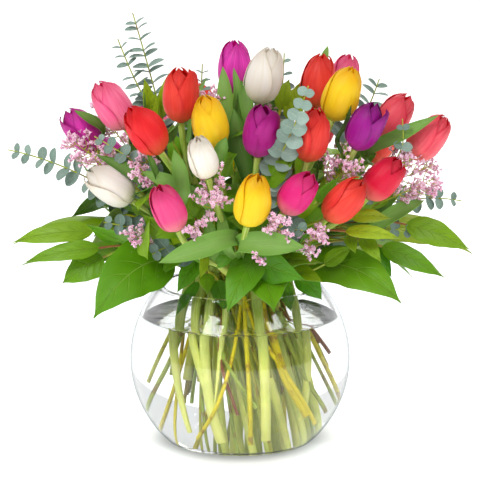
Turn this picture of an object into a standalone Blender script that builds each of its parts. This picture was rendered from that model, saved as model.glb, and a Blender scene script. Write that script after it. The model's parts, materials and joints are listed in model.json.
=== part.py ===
"""A domed bouquet of tulips with leaves, eucalyptus and sea lavender, standing in a round glass bowl vase.

Metres, +Z up, origin at the middle of the vase's base. The front of the bouquet faces -Y.
Every plant is one closed body made by skinning rings of points along its own centreline:
a round section where it is a stem, a wide flat one where it is a leaf. All stems stand on the
vase floor and share one twisted bundle, in which each keeps its own place, so none touches another.
"""

import math

import bmesh
import bpy
from mathutils import Matrix, Vector

MM = 0.001
UP = Vector((0, 0, 1))

# Vase: a sphere of clear glass cut flat at the foot and at the mouth.
BOWL_RADIUS = 113 * MM
BOWL_CENTRE_Z = 85 * MM
MOUTH_Z = 165 * MM
WALL = 4 * MM
FLOOR_Z = 6 * MM
FOOT_RADIUS = 69 * MM
VASE_SIDES = 36
VASE_ARC_STEPS = 9

# Bundle of stems: its radius at the floor and at the waist, and how far it turns between the two.
CLEARANCE = 0.3 * MM
BUNDLE_FLOOR_RADIUS = 65 * MM
BUNDLE_WAIST_RADIUS = 45 * MM
BUNDLE_WAIST_Z = 160 * MM
BUNDLE_TURN = math.radians(46)
HEAD_TURN = math.radians(24)
PLACE_SPACING = 0.285
PLACE_ROUNDS = 400
FULL_REACH = 190 * MM

# Tulips.
STEM_RADIUS = 3.4 * MM
STEM_SIDES = 6
STEM_RINGS = 7
BLOOM_LENGTH = 54 * MM
BLOOM_RADIUS = 18 * MM
BLOOM_SIDES = 12
BLOOM_RINGS = (0.04, 0.14, 0.30, 0.50, 0.70, 0.86, 0.96)
BLOOM_PROFILE = (0.716, 0.55)
BLOOM_WAVE = 0.035
FORWARD_LEAN = math.radians(16)

# Leaves and sprigs.
TWIG_RADIUS = 1.7 * MM
LEAF_SIDES = 8
LEAF_HALF_THICKNESS = 0.6 * MM
LEAF_RINGS = (0.03, 0.12, 0.25, 0.40, 0.55, 0.70, 0.83, 0.93)
LEAF_PROFILE = (0.64, 0.9)
LEAF_FOLD = 0.14
PAIR_HALF_WIDTH = (13 * MM, 6 * MM)
PAIR_HALF_THICKNESS = 0.9 * MM
PAIR_NECK_RADIUS = 1.36 * MM
PAIR_NECK, PAIR_START, PAIR_END = 0.10, 0.32, 0.68
PLUME_RINGS = (0.05, 0.18, 0.35, 0.55, 0.75, 0.90)
PLUME_PROFILE = (0.8, 0.7)

# Edges that are bent by more than this stay crisp where the rest is shaded smooth.
CRISP_EDGE = math.radians(50)

COLOURS = {
    "glass": ((0.93, 0.96, 0.96), 0.03),
    "stem_green": ((0.33, 0.50, 0.12), 0.45),
    "red_petal": ((0.80, 0.03, 0.03), 0.42),
    "coral_petal": ((0.86, 0.13, 0.16), 0.42),
    "pink_petal": ((0.85, 0.10, 0.33), 0.42),
    "magenta_petal": ((0.55, 0.03, 0.30), 0.42),
    "purple_petal": ((0.36, 0.03, 0.34), 0.42),
    "white_petal": ((0.90, 0.86, 0.80), 0.45),
    "yellow_petal": ((0.93, 0.64, 0.04), 0.42),
    "salal_leaf": ((0.16, 0.36, 0.03), 0.35),
    "eucalyptus": ((0.25, 0.36, 0.30), 0.55),
    "sea_lavender": ((0.72, 0.38, 0.52), 0.70),
}

# name, petal colour, middle of the bloom in mm, lean to the right in degrees, size against a full bloom
TULIPS = (
    ("coral_left", "pink_petal", (-126, -50, 351), -32, 1.00),
    ("red_left_high", "red_petal", (-58, -75, 364), -2, 1.00),
    ("red_left", "red_petal", (-90, -115, 335), -33, 1.00),
    ("magenta_left", "magenta_petal", (-157, -30, 324), -36, 0.92),
    ("white_left", "white_petal", (-126, -85, 277), -55, 0.98),
    ("pink_front_left", "pink_petal", (-67, -150, 266), -21, 0.90),
    ("white_small", "white_petal", (-35, -152, 314), -14, 0.78),
    ("yellow_left", "yellow_petal", (-29, -103, 341), -12, 1.00),
    ("magenta_top", "magenta_petal", (-5, -5, 385), 1, 0.98),
    ("white_top", "white_petal", (24, -48, 380), 13, 1.06),
    ("magenta_middle", "magenta_petal", (19, -112, 334), 5, 0.96),
    ("red_middle", "red_petal", (68, -110, 330), 10, 1.00),
    ("red_top", "red_petal", (78, -25, 373), 8, 1.00),
    ("yellow_right", "yellow_petal", (99, -72, 365), 20, 1.03),
    ("purple_right", "purple_petal", (120, -95, 336), 23, 0.92),
    ("yellow_front", "yellow_petal", (12, -160, 275), 12, 0.98),
    ("pink_front_right", "pink_petal", (54, -150, 280), 33, 0.88),
    ("red_front_right", "red_petal", (99, -130, 270), 42, 0.95),
    ("crimson_right", "coral_petal", (137, -105, 287), 38, 0.92),
    ("coral_right", "coral_petal", (152, -42, 339), 34, 0.96),
    ("coral_far_right", "coral_petal", (184, -62, 321), 40, 0.98),
    ("pink_back", "pink_petal", (106, 26, 371), 16, 0.90),
)

# name, start and tip of the blade in mm, half its width, height of its arch, roll in degrees
SALAL_LEAVES = (
    ("far_left", (-120, 8, 220), (-234, 16, 200), 24, 12, -20),
    ("left", (-112, -34, 200), (-221, -24, 186), 20, 10, -12),
    ("front_left", (-74, -78, 203), (-139, -142, 158), 29, 14, -58),
    ("front", (18, -92, 198), (32, -170, 171), 25, 10, 0),
    ("front_right", (72, -76, 198), (154, -128, 170), 26, 14, 42),
    ("right", (112, -28, 205), (204, -46, 178), 25, 12, -48),
    ("far_right", (128, 8, 216), (239, 12, 191), 24, 14, 38),
    ("back_left", (-86, 76, 206), (-158, 140, 168), 28, 14, 36),
    ("back", (6, 104, 204), (10, 196, 170), 27, 13, 0),
    ("back_right", (90, 78, 206), (166, 140, 172), 28, 14, -36),
)

# name, start and tip of the leafy length in mm, height of its arch, number of leaf pairs
EUCALYPTUS = (
    ("top_left", (-72, 22, 300), (-109, 32, 436), 3, 9),
    ("left", (-116, 14, 246), (-235, 2, 300), 7, 9),
    ("right", (132, 36, 232), (228, 24, 244), 7, 8),
)

# name, start and tip of the flowering plume in mm, its half width
SEA_LAVENDER = (
    ("left", (-128, 26, 262), (-168, 24, 312), 14),
    ("right", (150, 16, 262), (196, -4, 286), 13),
)


def millimetres(point):
    """A point of a table, as a vector in metres."""
    return Vector(point) * MM


def material(slot):
    """The finish of one slot, made the first time it is asked for."""
    if slot in bpy.data.materials:
        return bpy.data.materials[slot]
    colour, roughness = COLOURS[slot]
    made = bpy.data.materials.new(slot)
    made.use_nodes = True
    shader = made.node_tree.nodes["Principled BSDF"]
    shader.inputs["Base Color"].default_value = (*colour, 1)
    shader.inputs["Roughness"].default_value = roughness
    if slot == "glass":
        shader.inputs["Transmission Weight"].default_value = 1
    return made


def skin(name, rings, first_pole, last_pole, slot):
    """One closed object from rings with equal numbers of points, closed by a pole at each end."""
    shape = bmesh.new()
    loops = [[shape.verts.new(point) for point in ring] for ring in rings]
    sides = len(loops[0])
    for lower, upper in zip(loops, loops[1:]):
        for i in range(sides):
            j = (i + 1) % sides
            shape.faces.new((lower[i], lower[j], upper[j], upper[i]))
    for pole, loop in ((first_pole, loops[0]), (last_pole, loops[-1])):
        tip = shape.verts.new(pole)
        for i in range(sides):
            shape.faces.new((loop[i], loop[(i + 1) % sides], tip))
    bmesh.ops.recalc_face_normals(shape, faces=shape.faces)
    mesh = bpy.data.meshes.new(name)
    shape.to_mesh(mesh)
    shape.free()
    mesh.shade_smooth()
    mesh.set_sharp_from_angle(angle=CRISP_EDGE)
    mesh.materials.append(material(slot))
    made = bpy.data.objects.new(name, mesh)
    bpy.context.scene.collection.objects.link(made)
    return made


def section(centre, side, normal, half_width, half_thickness, sides, fold=0.0):
    """An oval ring about centre. fold lifts its two edges, as the halves of a leaf rise from the midrib."""
    ring = []
    for i in range(sides):
        angle = 2 * math.pi * i / sides
        across = half_width * math.cos(angle)
        lift = half_thickness * math.sin(angle) + fold * abs(across)
        ring.append(centre + side * across + normal * lift)
    return ring


def swollen(t, profile):
    """Width of a bud, leaf or plume at t, against its fullest. Its first power shifts the fullest place
    towards the foot, and its second one blunts the two ends."""
    shift, blunt = profile
    return math.sin(math.pi * t**shift) ** blunt


def hermite(start, start_slope, end, end_slope, t):
    """A point on the smooth curve that leaves start and reaches end with the given slopes."""
    a = 2 * t**3 - 3 * t**2 + 1
    b = t**3 - 2 * t**2 + t
    c = 3 * t**2 - 2 * t**3
    d = t**3 - t**2
    return start * a + start_slope * b + end * c + end_slope * d


def arched(start, tip, arch, t):
    """A point on the line from start to tip, raised most at its middle."""
    return start.lerp(tip, t) + UP * (4 * arch * t * (1 - t))


# Bundle


def places_in_bundle(kinds, ends):
    """Where each stem runs in the bundle, as points of a unit disc: near its end's side, and spaced out.

    The leaves of the collar start at the disc's edge, so they stand round all the other stems.
    """
    turn = Matrix.Rotation(HEAD_TURN, 2)
    places = []
    for kind, end in zip(kinds, ends):
        reach = end.xy.length if kind == "salal_leaf" else FULL_REACH
        places.append(turn @ (end.xy / reach))
    for _ in range(PLACE_ROUNDS):
        for i, place in enumerate(places):
            for j in range(i):
                apart = place - places[j]
                if apart.length < PLACE_SPACING:
                    push = apart.normalized() * (PLACE_SPACING - apart.length) / 2
                    places[i] = place = place + push
                    places[j] = places[j] - push
        places = [p if p.length <= 1 else p.normalized() for p in places]
    return places


def stem_route(place, end, end_direction):
    """Centres of a stem's rings: straight from the vase floor to the waist, then curving to its end."""
    turned = Matrix.Rotation(BUNDLE_TURN, 2) @ place
    foot = (turned * BUNDLE_FLOOR_RADIUS).to_3d() + UP * (FLOOR_Z + CLEARANCE)
    waist = (place * BUNDLE_WAIST_RADIUS).to_3d() + UP * BUNDLE_WAIST_Z
    span = (end - waist).length
    rising = (waist - foot).normalized() * span
    arriving = end_direction.normalized() * span
    steps = (i / STEM_RINGS for i in range(STEM_RINGS + 1))
    return [foot] + [hermite(waist, rising, end, arriving, t) for t in steps]


def frames(route, last_side):
    """A (side, normal) pair for each centre of a route, carried back without twist from its last one."""
    directions = [UP]
    for i in range(1, len(route)):
        following = route[min(i + 1, len(route) - 1)]
        directions.append((following - route[i - 1]).normalized())
    side, made = last_side, []
    for direction in reversed(directions):
        side = (side - direction * side.dot(direction)).normalized()
        made.append((side, direction.cross(side)))
    return made[::-1]


def level_side(direction, roll_degrees=0):
    """The level direction across a leaf or bud that points along direction, rolled about it."""
    level = direction.cross(UP)
    if level.length < CLEARANCE:
        level = Vector((1, 0, 0))
    return Matrix.Rotation(math.radians(roll_degrees), 3, direction) @ level.normalized()


# Vase


def arc(radius, low_z, high_z):
    """(distance from the axis, height) along a circle about the bowl's centre, from low_z up to high_z."""
    first = math.asin((low_z - BOWL_CENTRE_Z) / radius)
    last = math.asin((high_z - BOWL_CENTRE_Z) / radius)
    steps = (first + (last - first) * i / VASE_ARC_STEPS for i in range(VASE_ARC_STEPS + 1))
    return [(radius * math.cos(a), BOWL_CENTRE_Z + radius * math.sin(a)) for a in steps]


def vase():
    """The bowl, skinned from under its foot, up over the rim and down to the floor inside."""
    rounding = WALL / 2
    outside = arc(BOWL_RADIUS, rounding, MOUTH_Z - rounding)
    inside = arc(BOWL_RADIUS - WALL, FLOOR_Z + rounding, MOUTH_Z - rounding)[::-1]
    rim = ((outside[-1][0] + inside[0][0]) / 2, MOUTH_Z)
    floor_edge = (inside[-1][0] - rounding, FLOOR_Z)
    profile = [(FOOT_RADIUS, 0), *outside, rim, *inside, floor_edge]
    rings = []
    for radius, height in profile:
        angles = (2 * math.pi * i / VASE_SIDES for i in range(VASE_SIDES))
        rings.append([Vector((radius * math.cos(a), radius * math.sin(a), height)) for a in angles])
    return skin("vase", rings, Vector((0, 0, 0)), Vector((0, 0, FLOOR_Z)), "glass")


# Plants


def bloom_ends(middle, lean_degrees, size):
    """Foot and tip of a bloom that leans to the side by lean_degrees, and forward if it is at the front."""
    lean = math.radians(lean_degrees)
    forward = FORWARD_LEAN * max(0.0, -middle.y) / FULL_REACH
    axis = Vector((math.sin(lean), -math.cos(lean) * math.sin(forward), math.cos(lean) * math.cos(forward)))
    half = axis * (BLOOM_LENGTH * size / 2)
    return middle - half, middle + half


def bloom(name, slot, foot, tip, size):
    """A closed tulip: a bud widest under its middle, with a shallow wave for the three outer petals."""
    axis = (tip - foot).normalized()
    side = level_side(axis)
    normal = axis.cross(side)
    rings = []
    for t in BLOOM_RINGS:
        radius = BLOOM_RADIUS * size * swollen(t, BLOOM_PROFILE)
        ring = []
        for i in range(BLOOM_SIDES):
            angle = 2 * math.pi * i / BLOOM_SIDES
            reach = radius * (1 + BLOOM_WAVE * math.cos(3 * angle))
            ring.append(foot.lerp(tip, t) + (side * math.cos(angle) + normal * math.sin(angle)) * reach)
        rings.append(ring)
    return skin(f"bloom_{name}", rings, foot, tip, slot)


def tulip_stem(name, route, axis):
    """A round stem up to just under the bloom."""
    rings = [
        section(centre, *pair, STEM_RADIUS, STEM_RADIUS, STEM_SIDES)
        for centre, pair in zip(route, frames(route, level_side(axis)))
    ]
    ends = (route[0] + UP * CLEARANCE, route[-1] + axis * CLEARANCE / 2)
    return skin(f"stem_{name}", rings, *ends, "stem_green")


def sprig(name, slot, route, tip, arch, roll, outline):
    """A twig whose section opens, past the end of route, into a blade, leaf pairs or a plume.

    outline holds (share of the length, half width, half thickness, fold, quarter turns) for each ring.
    """
    start = route[-1]
    blade = [arched(start, tip, arch, t) for t, *_ in outline]
    centres = route[:-1] + blade
    side = level_side((tip - start).normalized(), roll)
    pairs = frames(centres + [tip], side)[:-1]
    rings = []
    for i, (centre, (across, normal)) in enumerate(zip(centres, pairs)):
        if i < len(route) - 1:
            rings.append(section(centre, across, normal, TWIG_RADIUS, TWIG_RADIUS, LEAF_SIDES))
            continue
        _, half_width, half_thickness, fold, upright = outline[i - len(route) + 1]
        if upright:
            half_width, half_thickness = half_thickness, half_width
        rings.append(section(centre, across, normal, half_width, half_thickness, LEAF_SIDES, fold))
    return skin(name, rings, route[0] + UP * CLEARANCE, tip, slot)


def leaf_outline(half_width):
    """A broad pointed leaf, widest a third of the way along."""
    reaches = [max(TWIG_RADIUS, half_width * swollen(t, LEAF_PROFILE)) for t in LEAF_RINGS]
    return [(t, reach, LEAF_HALF_THICKNESS, LEAF_FOLD, False) for t, reach in zip(LEAF_RINGS, reaches)]


def pair_outline(pairs):
    """Round leaves in pairs along a twig, each pair a quarter turn from the last and a little smaller."""
    wide, narrow = PAIR_HALF_WIDTH
    rings = []
    for i in range(pairs):
        reach = wide + (narrow - wide) * i / (pairs - 1)
        upright = i % 2 == 1
        rings.append(((i + PAIR_NECK) / pairs, PAIR_NECK_RADIUS, PAIR_NECK_RADIUS, 0, False))
        rings.append(((i + PAIR_START) / pairs, reach, PAIR_HALF_THICKNESS, 0, upright))
        rings.append(((i + PAIR_END) / pairs, reach, PAIR_HALF_THICKNESS, 0, upright))
    return rings


def plume_outline(half_width):
    """A loose oval head of small flowers."""
    reaches = [max(TWIG_RADIUS, half_width * swollen(t, PLUME_PROFILE)) for t in PLUME_RINGS]
    return [(t, reach, reach, 0, False) for t, reach in zip(PLUME_RINGS, reaches)]


def plants():
    """Every plant as (kind, name, stem end, direction there, what else it needs)."""
    found = []
    for name, slot, middle, lean, size in TULIPS:
        foot, tip = bloom_ends(millimetres(middle), lean, size)
        axis = (tip - foot).normalized()
        found.append(("tulip", name, foot - axis * CLEARANCE * 2, axis, (slot, foot, tip, size)))
    for name, start, tip, half_width, arch, roll in SALAL_LEAVES:
        outline = leaf_outline(half_width * MM)
        found.append(leafy("salal_leaf", name, start, tip, arch, roll, outline))
    for name, start, tip, arch, pairs in EUCALYPTUS:
        found.append(leafy("eucalyptus", name, start, tip, arch, 0, pair_outline(pairs)))
    for name, start, tip, half_width in SEA_LAVENDER:
        outline = plume_outline(half_width * MM)
        found.append(leafy("sea_lavender", name, start, tip, 0, 0, outline))
    return found


def leafy(kind, name, start, tip, arch, roll, outline):
    """A plant with a blade, pairs or a plume at its end. Its twig ends where that leafy length sets off."""
    start, tip, arch = millimetres(start), millimetres(tip), arch * MM
    direction = (tip - start + UP * 4 * arch).normalized()
    return kind, name, start, direction, (tip, arch, roll, outline)


def bouquet():
    """Builds every plant, each on its own place in the bundle."""
    found = plants()
    places = places_in_bundle([kind for kind, *_ in found], [end for _, _, end, *_ in found])
    for place, (kind, name, end, direction, details) in zip(places, found):
        route = stem_route(place, end, direction)
        if kind == "tulip":
            slot, foot, tip, size = details
            bloom(name, slot, foot, tip, size)
            tulip_stem(name, route, direction)
        else:
            sprig(f"{kind}_{name}", kind, route, *details)


def main():
    for old in list(bpy.data.objects):
        bpy.data.objects.remove(old)
    vase()
    bouquet()


main()
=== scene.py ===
# %% [markdown]
# # Tulips in a glass bowl
# A florist's dome of tulips, leaves, eucalyptus and sea lavender, standing in a clear bowl of water.
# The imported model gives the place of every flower, leaf and stem. This script grows the fine shape of
# each one on that place, from the water up, and gives each its own finish.

# %% Load the frame
import cmath
import json
import math
import random

import bmesh
import bpy
import numpy as np
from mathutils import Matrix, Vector


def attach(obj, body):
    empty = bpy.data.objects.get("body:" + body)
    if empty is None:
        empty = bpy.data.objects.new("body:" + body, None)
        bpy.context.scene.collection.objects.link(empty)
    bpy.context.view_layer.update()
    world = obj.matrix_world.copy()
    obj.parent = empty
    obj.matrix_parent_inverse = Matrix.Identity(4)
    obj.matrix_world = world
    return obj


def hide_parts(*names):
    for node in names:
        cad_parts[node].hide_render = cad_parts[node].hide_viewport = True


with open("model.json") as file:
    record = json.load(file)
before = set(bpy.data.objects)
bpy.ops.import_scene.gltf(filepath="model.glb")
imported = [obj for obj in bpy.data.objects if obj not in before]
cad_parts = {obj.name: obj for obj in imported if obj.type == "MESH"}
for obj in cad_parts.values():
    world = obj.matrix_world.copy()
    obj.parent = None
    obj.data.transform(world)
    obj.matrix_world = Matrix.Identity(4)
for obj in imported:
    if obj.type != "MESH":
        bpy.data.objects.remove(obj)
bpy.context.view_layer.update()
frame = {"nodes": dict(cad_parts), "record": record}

MM = 0.001
GOLDEN_ANGLE = 2.4  # radians; steps of it spread places evenly over a disc or a dome
chance = random.Random(7)
print(len(frame["nodes"]), "solids in the frame")

# %% [markdown]
# ## Camera, light and floor
# A photographer of bouquets stands well back with a long lens, a little above the flowers, so that the
# vase and the blooms keep their true proportions. Soft lights from both sides and the back, a white
# floor and a white surround leave the floor nearly white; a faint shadow at the foot of the glass is painted
# onto it.

# %% Camera
LOOK_AT = Vector((0, 0, 0.2075))
DISTANCE = 1.9
LIFT = math.radians(10.5)
FRAME_WIDTH = 0.4896
SENSOR = 36.0

camera_data = bpy.data.cameras.new("camera")
camera_data.sensor_width = SENSOR
camera_data.lens = SENSOR * DISTANCE / FRAME_WIDTH
camera = bpy.data.objects.new("camera", camera_data)
camera.location = LOOK_AT + Vector((0, -math.cos(LIFT), math.sin(LIFT))) * DISTANCE
camera.rotation_euler = (LOOK_AT - camera.location).to_track_quat("-Z", "Y").to_euler()
bpy.context.scene.collection.objects.link(camera)
bpy.context.scene.camera = camera
bpy.context.scene.view_settings.view_transform = "Standard"
print("lens", round(camera_data.lens, 1), "mm")


# %% Helpers for node trees
def add(tree, kind, inputs=(), **settings):
    """Adds a node. inputs maps its sockets to values, or to other nodes' outputs, which are linked."""
    node = tree.nodes.new("ShaderNode" + kind)
    for key, value in settings.items():
        setattr(node, key, value)
    for key, value in dict(inputs).items():
        if isinstance(value, bpy.types.NodeSocket):
            tree.links.new(value, node.inputs[key])
        else:
            node.inputs[key].default_value = value
    return node


def maths(tree, operation, first, second=0.0):
    """The output of a Math node."""
    return add(tree, "Math", {0: first, 1: second}, operation=operation).outputs[0]


def blended(tree, factor, first, second, mode="MIX"):
    """The colour output of a Mix node between two colours."""
    colours = {6: first, 7: second}
    for key, value in colours.items():
        if not isinstance(value, bpy.types.NodeSocket):
            colours[key] = (*value, 1)
    mix = add(tree, "Mix", {0: factor, **colours}, data_type="RGBA", blend_type=mode)
    return mix.outputs[2]


def washed(tree, colour, wash, mask, share):
    """The colour with up to a share of the wash over it, where the mask is 1."""
    return blended(tree, maths(tree, "MULTIPLY", mask, share), colour, wash)


def stained(tree, colour, stain, mask, share):
    """The colour, multiplied by the stain where the mask is 1."""
    return washed(tree, colour, blended(tree, 1.0, colour, stain, "MULTIPLY"), mask, share)


def ramped(tree, value, low, high, to_low=0.0, to_high=1.0):
    """value, mapped smoothly from low..high to to_low..to_high."""
    sockets = {"Value": value, "From Min": low, "From Max": high, "To Min": to_low, "To Max": to_high}
    return add(tree, "MapRange", sockets, interpolation_type="SMOOTHSTEP").outputs[0]


# %% Surround and lights
SURROUND_BACK = 0.93  # how bright the surround is behind the flowers, seen in the glass
SURROUND_FRONT = 0.31
SURROUND_TOP = 0.50  # what the surround gains overhead

world = bpy.data.worlds.new("surround")
bpy.context.scene.world = world
world.use_nodes = True
sky = world.node_tree
towards = add(sky, "SeparateXYZ", {0: add(sky, "TexCoord").outputs["Generated"]})
backness = ramped(sky, towards.outputs["Y"], -0.45, 0.5, SURROUND_FRONT, SURROUND_BACK)
upness = ramped(sky, towards.outputs["Z"], 0.3, 0.95, 0.0, SURROUND_TOP)
lit = maths(sky, "ADD", backness, upness)
strength = maths(sky, "MAXIMUM", add(sky, "LightPath").outputs["Is Camera Ray"], lit)
sky.links.new(strength, sky.nodes["Background"].inputs["Strength"])
sky.nodes["Background"].inputs["Color"].default_value = (1, 1, 1, 1)


def soft_light(name, place, size, power):
    """A square soft box at place, in metres, that faces the bouquet's middle."""
    lamp = bpy.data.lights.new(name, "AREA")
    lamp.size = size
    lamp.energy = power
    box = bpy.data.objects.new(name, lamp)
    box.location = place
    box.rotation_euler = (LOOK_AT - box.location).to_track_quat("-Z", "Y").to_euler()
    bpy.context.scene.collection.objects.link(box)
    print(name, power, "W")


soft_light("key_light", Vector((-0.9, -1.3, 1.5)), 0.7, 20)
soft_light("fill_light", Vector((1.05, -1.0, 1.45)), 0.5, 8)
soft_light("back_light", Vector((0.3, 1.4, 1.3)), 1.0, 10)

# %% Floor
# A painted shadow: the floor's colour turns dark grey near the foot of the glass.
PAINTED_CONTACT_SHADE = (62 * MM, 100 * MM)  # the shade at the foot of the glass fades between these distances
NEAR_GLOW = (70 * MM, 130 * MM, 0.0, 0.26)  # the floor's own light: from, to, least, most
FAR_GLOW = (130 * MM, 1.8, 0.0, 0.18)
BOUNCE = 0.14  # extra light that the floor throws on what stands on it


def floor_material():
    """A white sweep, bright enough to melt into the surround away from the contact shadow that is painted
    into its colour at the foot of the glass.
    """
    made = bpy.data.materials.new("white_floor")
    made.use_nodes = True
    tree = made.node_tree
    shader = tree.nodes["Principled BSDF"].inputs
    dust = add(tree, "TexNoise", {"Scale": 40.0, "Detail": 2.0})
    colour = blended(tree, dust.outputs[0], (0.955, 0.955, 0.955), (0.965, 0.965, 0.965))
    place = add(tree, "TexCoord").outputs["Object"]
    away = add(tree, "VectorMath", {0: place}, operation="LENGTH").outputs["Value"]
    # painted contact shadow: the floor's colour darkens close to the foot of the glass
    colour = blended(tree, ramped(tree, away, *PAINTED_CONTACT_SHADE), (0.30, 0.30, 0.29), colour)
    tree.links.new(colour, shader["Base Color"])
    shader["Roughness"].default_value = 0.9
    shader["Emission Color"].default_value = (1, 1, 1, 1)
    glow = maths(tree, "ADD", ramped(tree, away, *NEAR_GLOW), ramped(tree, away, *FAR_GLOW))
    seen = add(tree, "LightPath").outputs["Is Camera Ray"]
    glow = maths(tree, "ADD", glow, ramped(tree, seen, 0.0, 1.0, BOUNCE, 0.0))
    tree.links.new(glow, shader["Emission Strength"])
    return made


FLOOR_REACH = 8.0
floor_mesh = bpy.data.meshes.new("floor")
corners = [(-FLOOR_REACH, -FLOOR_REACH, 0), (FLOOR_REACH, -FLOOR_REACH, 0)]
corners += [(FLOOR_REACH, FLOOR_REACH, 0), (-FLOOR_REACH, FLOOR_REACH, 0)]
floor_mesh.from_pydata(corners, [], [(0, 1, 2, 3)])
floor_mesh.materials.append(floor_material())
floor = bpy.data.objects.new("floor", floor_mesh)
bpy.context.scene.collection.objects.link(floor)
print("floor", 2 * FLOOR_REACH, "m wide")

# %% [markdown]
# ## A mesh that remembers how it grew
# Petals, leaves and stems are all the same two shapes: a tube round a curve, and a thin blade with two
# faces. Both are grids of points, so one small builder makes them. Each point also carries where it is
# on the plant: how far along, how far across, and a tint of its own. The finishes read those three
# numbers, so streaks run along a petal and veins start at a midrib, whichever way the piece points.


# %% The builder
class Growth:
    """The grids of one piece while it is being built."""

    def __init__(self):
        self.points, self.marks, self.faces, self.slots = [], [], [], []
        self.count = 0

    def grid(self, points, marks, slots):
        """Adds rows of points as a tube of quads. slots gives each column's material."""
        rows, columns = points.shape[:2]
        i, j = np.meshgrid(np.arange(rows - 1), np.arange(columns), indexing="ij")
        after = (j + 1) % columns
        corners = (i * columns + j, i * columns + after, (i + 1) * columns + after, (i + 1) * columns + j)
        self.faces.append((np.stack(corners, -1) + self.count).reshape(-1, 4))
        self.slots.append(np.tile(slots, rows - 1))
        self.points.append(points.reshape(-1, 3))
        self.marks.append(marks.reshape(-1, 3))
        self.count += rows * columns

    def tube(self, path, radii, sides=8, tint=0.5, slot=0):
        """A round stem along path, closed at both ends."""
        side, normal = carried(path)
        angle = np.linspace(0, 2 * np.pi, sides, endpoint=False)[None, :, None]
        ring = side[:, None] * np.cos(angle) + normal[:, None] * np.sin(angle)
        points = path[:, None] + ring * np.broadcast_to(radii, len(path))[:, None, None]
        marks = marked(len(path), sides, tint)
        marks[:, :, 1] = np.sin(angle[:, :, 0])
        self.grid(*closed_ends(points, marks), np.full(sides, slot))

    def blade(self, face, tint, thickness, slots=(0, 0)):
        """A thin closed blade. face is its upper face as a grid, and the lower one lies thickness behind."""
        along, across = np.gradient(face, axis=0), np.gradient(face, axis=1)
        normal = np.cross(along, across)
        normal /= np.maximum(np.linalg.norm(normal, axis=2, keepdims=True), 1e-12)
        points = np.concatenate([face, (face - normal * thickness)[:, ::-1]], axis=1)
        rows, columns = face.shape[:2]
        upper = marked(rows, columns, tint)
        marks = np.concatenate([upper, upper[:, ::-1]], axis=1)
        self.grid(*closed_ends(points, marks), np.repeat(slots, columns))

    def leaf(self, path, side, reach, lift, tint, thickness, slots=(0, 0)):
        """A blade along path. reach is its half width, row by row, and lift its rise in half widths."""
        sides, normals = carried(path, side)
        u = np.linspace(-1, 1, lift.shape[1])[None, :, None]
        reach = np.maximum(reach, 0.05 * MM).reshape(-1, 1, 1)
        face = path[:, None] + u * reach * sides[:, None] + lift[..., None] * reach * normals[:, None]
        self.blade(face, tint, thickness, slots)

    def piece(self, name, materials, stands_for=()):
        """Makes the object, lets it ride on the root body and hides the solids that it stands for."""
        mesh = bpy.data.meshes.new(name)
        mesh.from_pydata(np.concatenate(self.points).tolist(), [], np.concatenate(self.faces).tolist())
        growth = mesh.attributes.new("growth", "FLOAT_VECTOR", "POINT")
        growth.data.foreach_set("vector", np.concatenate(self.marks).astype(np.float32).ravel())
        mesh.polygons.foreach_set("material_index", np.concatenate(self.slots).astype(np.int32))
        for material in materials:
            mesh.materials.append(material)
        # The rows gathered at each end become one point, and all faces look outwards.
        shape = bmesh.new()
        shape.from_mesh(mesh)
        bmesh.ops.remove_doubles(shape, verts=shape.verts, dist=1e-7)
        bmesh.ops.recalc_face_normals(shape, faces=shape.faces)
        shape.to_mesh(mesh)
        shape.free()
        mesh.shade_smooth()
        mesh.set_sharp_from_angle(angle=math.radians(60))
        made = bpy.data.objects.new(name, mesh)
        bpy.context.scene.collection.objects.link(made)
        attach(made, "root")
        if stands_for:
            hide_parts(*stands_for)


def marked(rows, columns, tint):
    """Growth marks of a grid: 0 to 1 along, -1 to 1 across, and the tint."""
    marks = np.empty((rows, columns, 3))
    marks[:, :, 0] = np.linspace(0, 1, rows)[:, None]
    marks[:, :, 1] = np.linspace(-1, 1, columns)[None, :]
    marks[:, :, 2] = tint
    return marks


def closed_ends(points, marks):
    """The same grid with its first and last rows gathered into one point each."""
    columns = points.shape[1]
    ends = [np.repeat(points[row].mean(0)[None, None], columns, axis=1) for row in (0, -1)]
    points = np.concatenate([ends[0], points, ends[1]])
    return points, np.concatenate([marks[:1], marks, marks[-1:]])


# %% Curves
def unit(vectors):
    """The same vectors, one long."""
    return vectors / np.linalg.norm(vectors, axis=-1, keepdims=True)


def reached_along(path):
    """How far each point of a path lies from its start, measured along it."""
    return np.concatenate([[0], np.cumsum(np.linalg.norm(np.diff(path, axis=0), axis=1))])


def bridged(start, leaving, end, arriving, t):
    """The cubic curve that leaves start and arrives at end along the given vectors, at shares t of it."""
    from_start = start * (2 * t**3 - 3 * t**2 + 1) + leaving * (t**3 - 2 * t**2 + t)
    return from_start + (end * (3 * t**2 - 2 * t**3) + arriving * (t**3 - t**2))


def through(points, count):
    """count points on a smooth curve through the given ones, evenly spaced."""
    points = np.asarray(points, float)
    reached = reached_along(points)
    slopes = np.gradient(points, reached, axis=0)
    at = np.linspace(0, reached[-1], count)
    k = np.clip(np.searchsorted(reached, at, "right") - 1, 0, len(points) - 2)
    length = (reached[k + 1] - reached[k])[:, None]
    t = (at - reached[k])[:, None] / length
    return bridged(points[k], slopes[k] * length, points[k + 1], slopes[k + 1] * length, t)


def carried(path, side=None):
    """(side, normal) along a path: a first side, carried along without twist."""
    heading = unit(np.gradient(path, axis=0))
    if side is None:
        side = np.eye(3)[np.argmin(np.abs(heading[0]))]
    sides = np.empty_like(path)
    for i, ahead in enumerate(heading):
        side = side - ahead * np.dot(side, ahead)
        side = side / np.linalg.norm(side)
        sides[i] = side
    return sides, np.cross(heading, sides)


def side_for(path, facing, share):
    """The side to start from, so that a blade's face looks along facing after that share of its path."""
    sides, normals = carried(path)
    i = int(share * (len(path) - 1))
    turn = math.atan2(-np.dot(facing, sides[i]), np.dot(facing, normals[i]))
    return sides[0] * math.cos(turn) + normals[0] * math.sin(turn)


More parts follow.
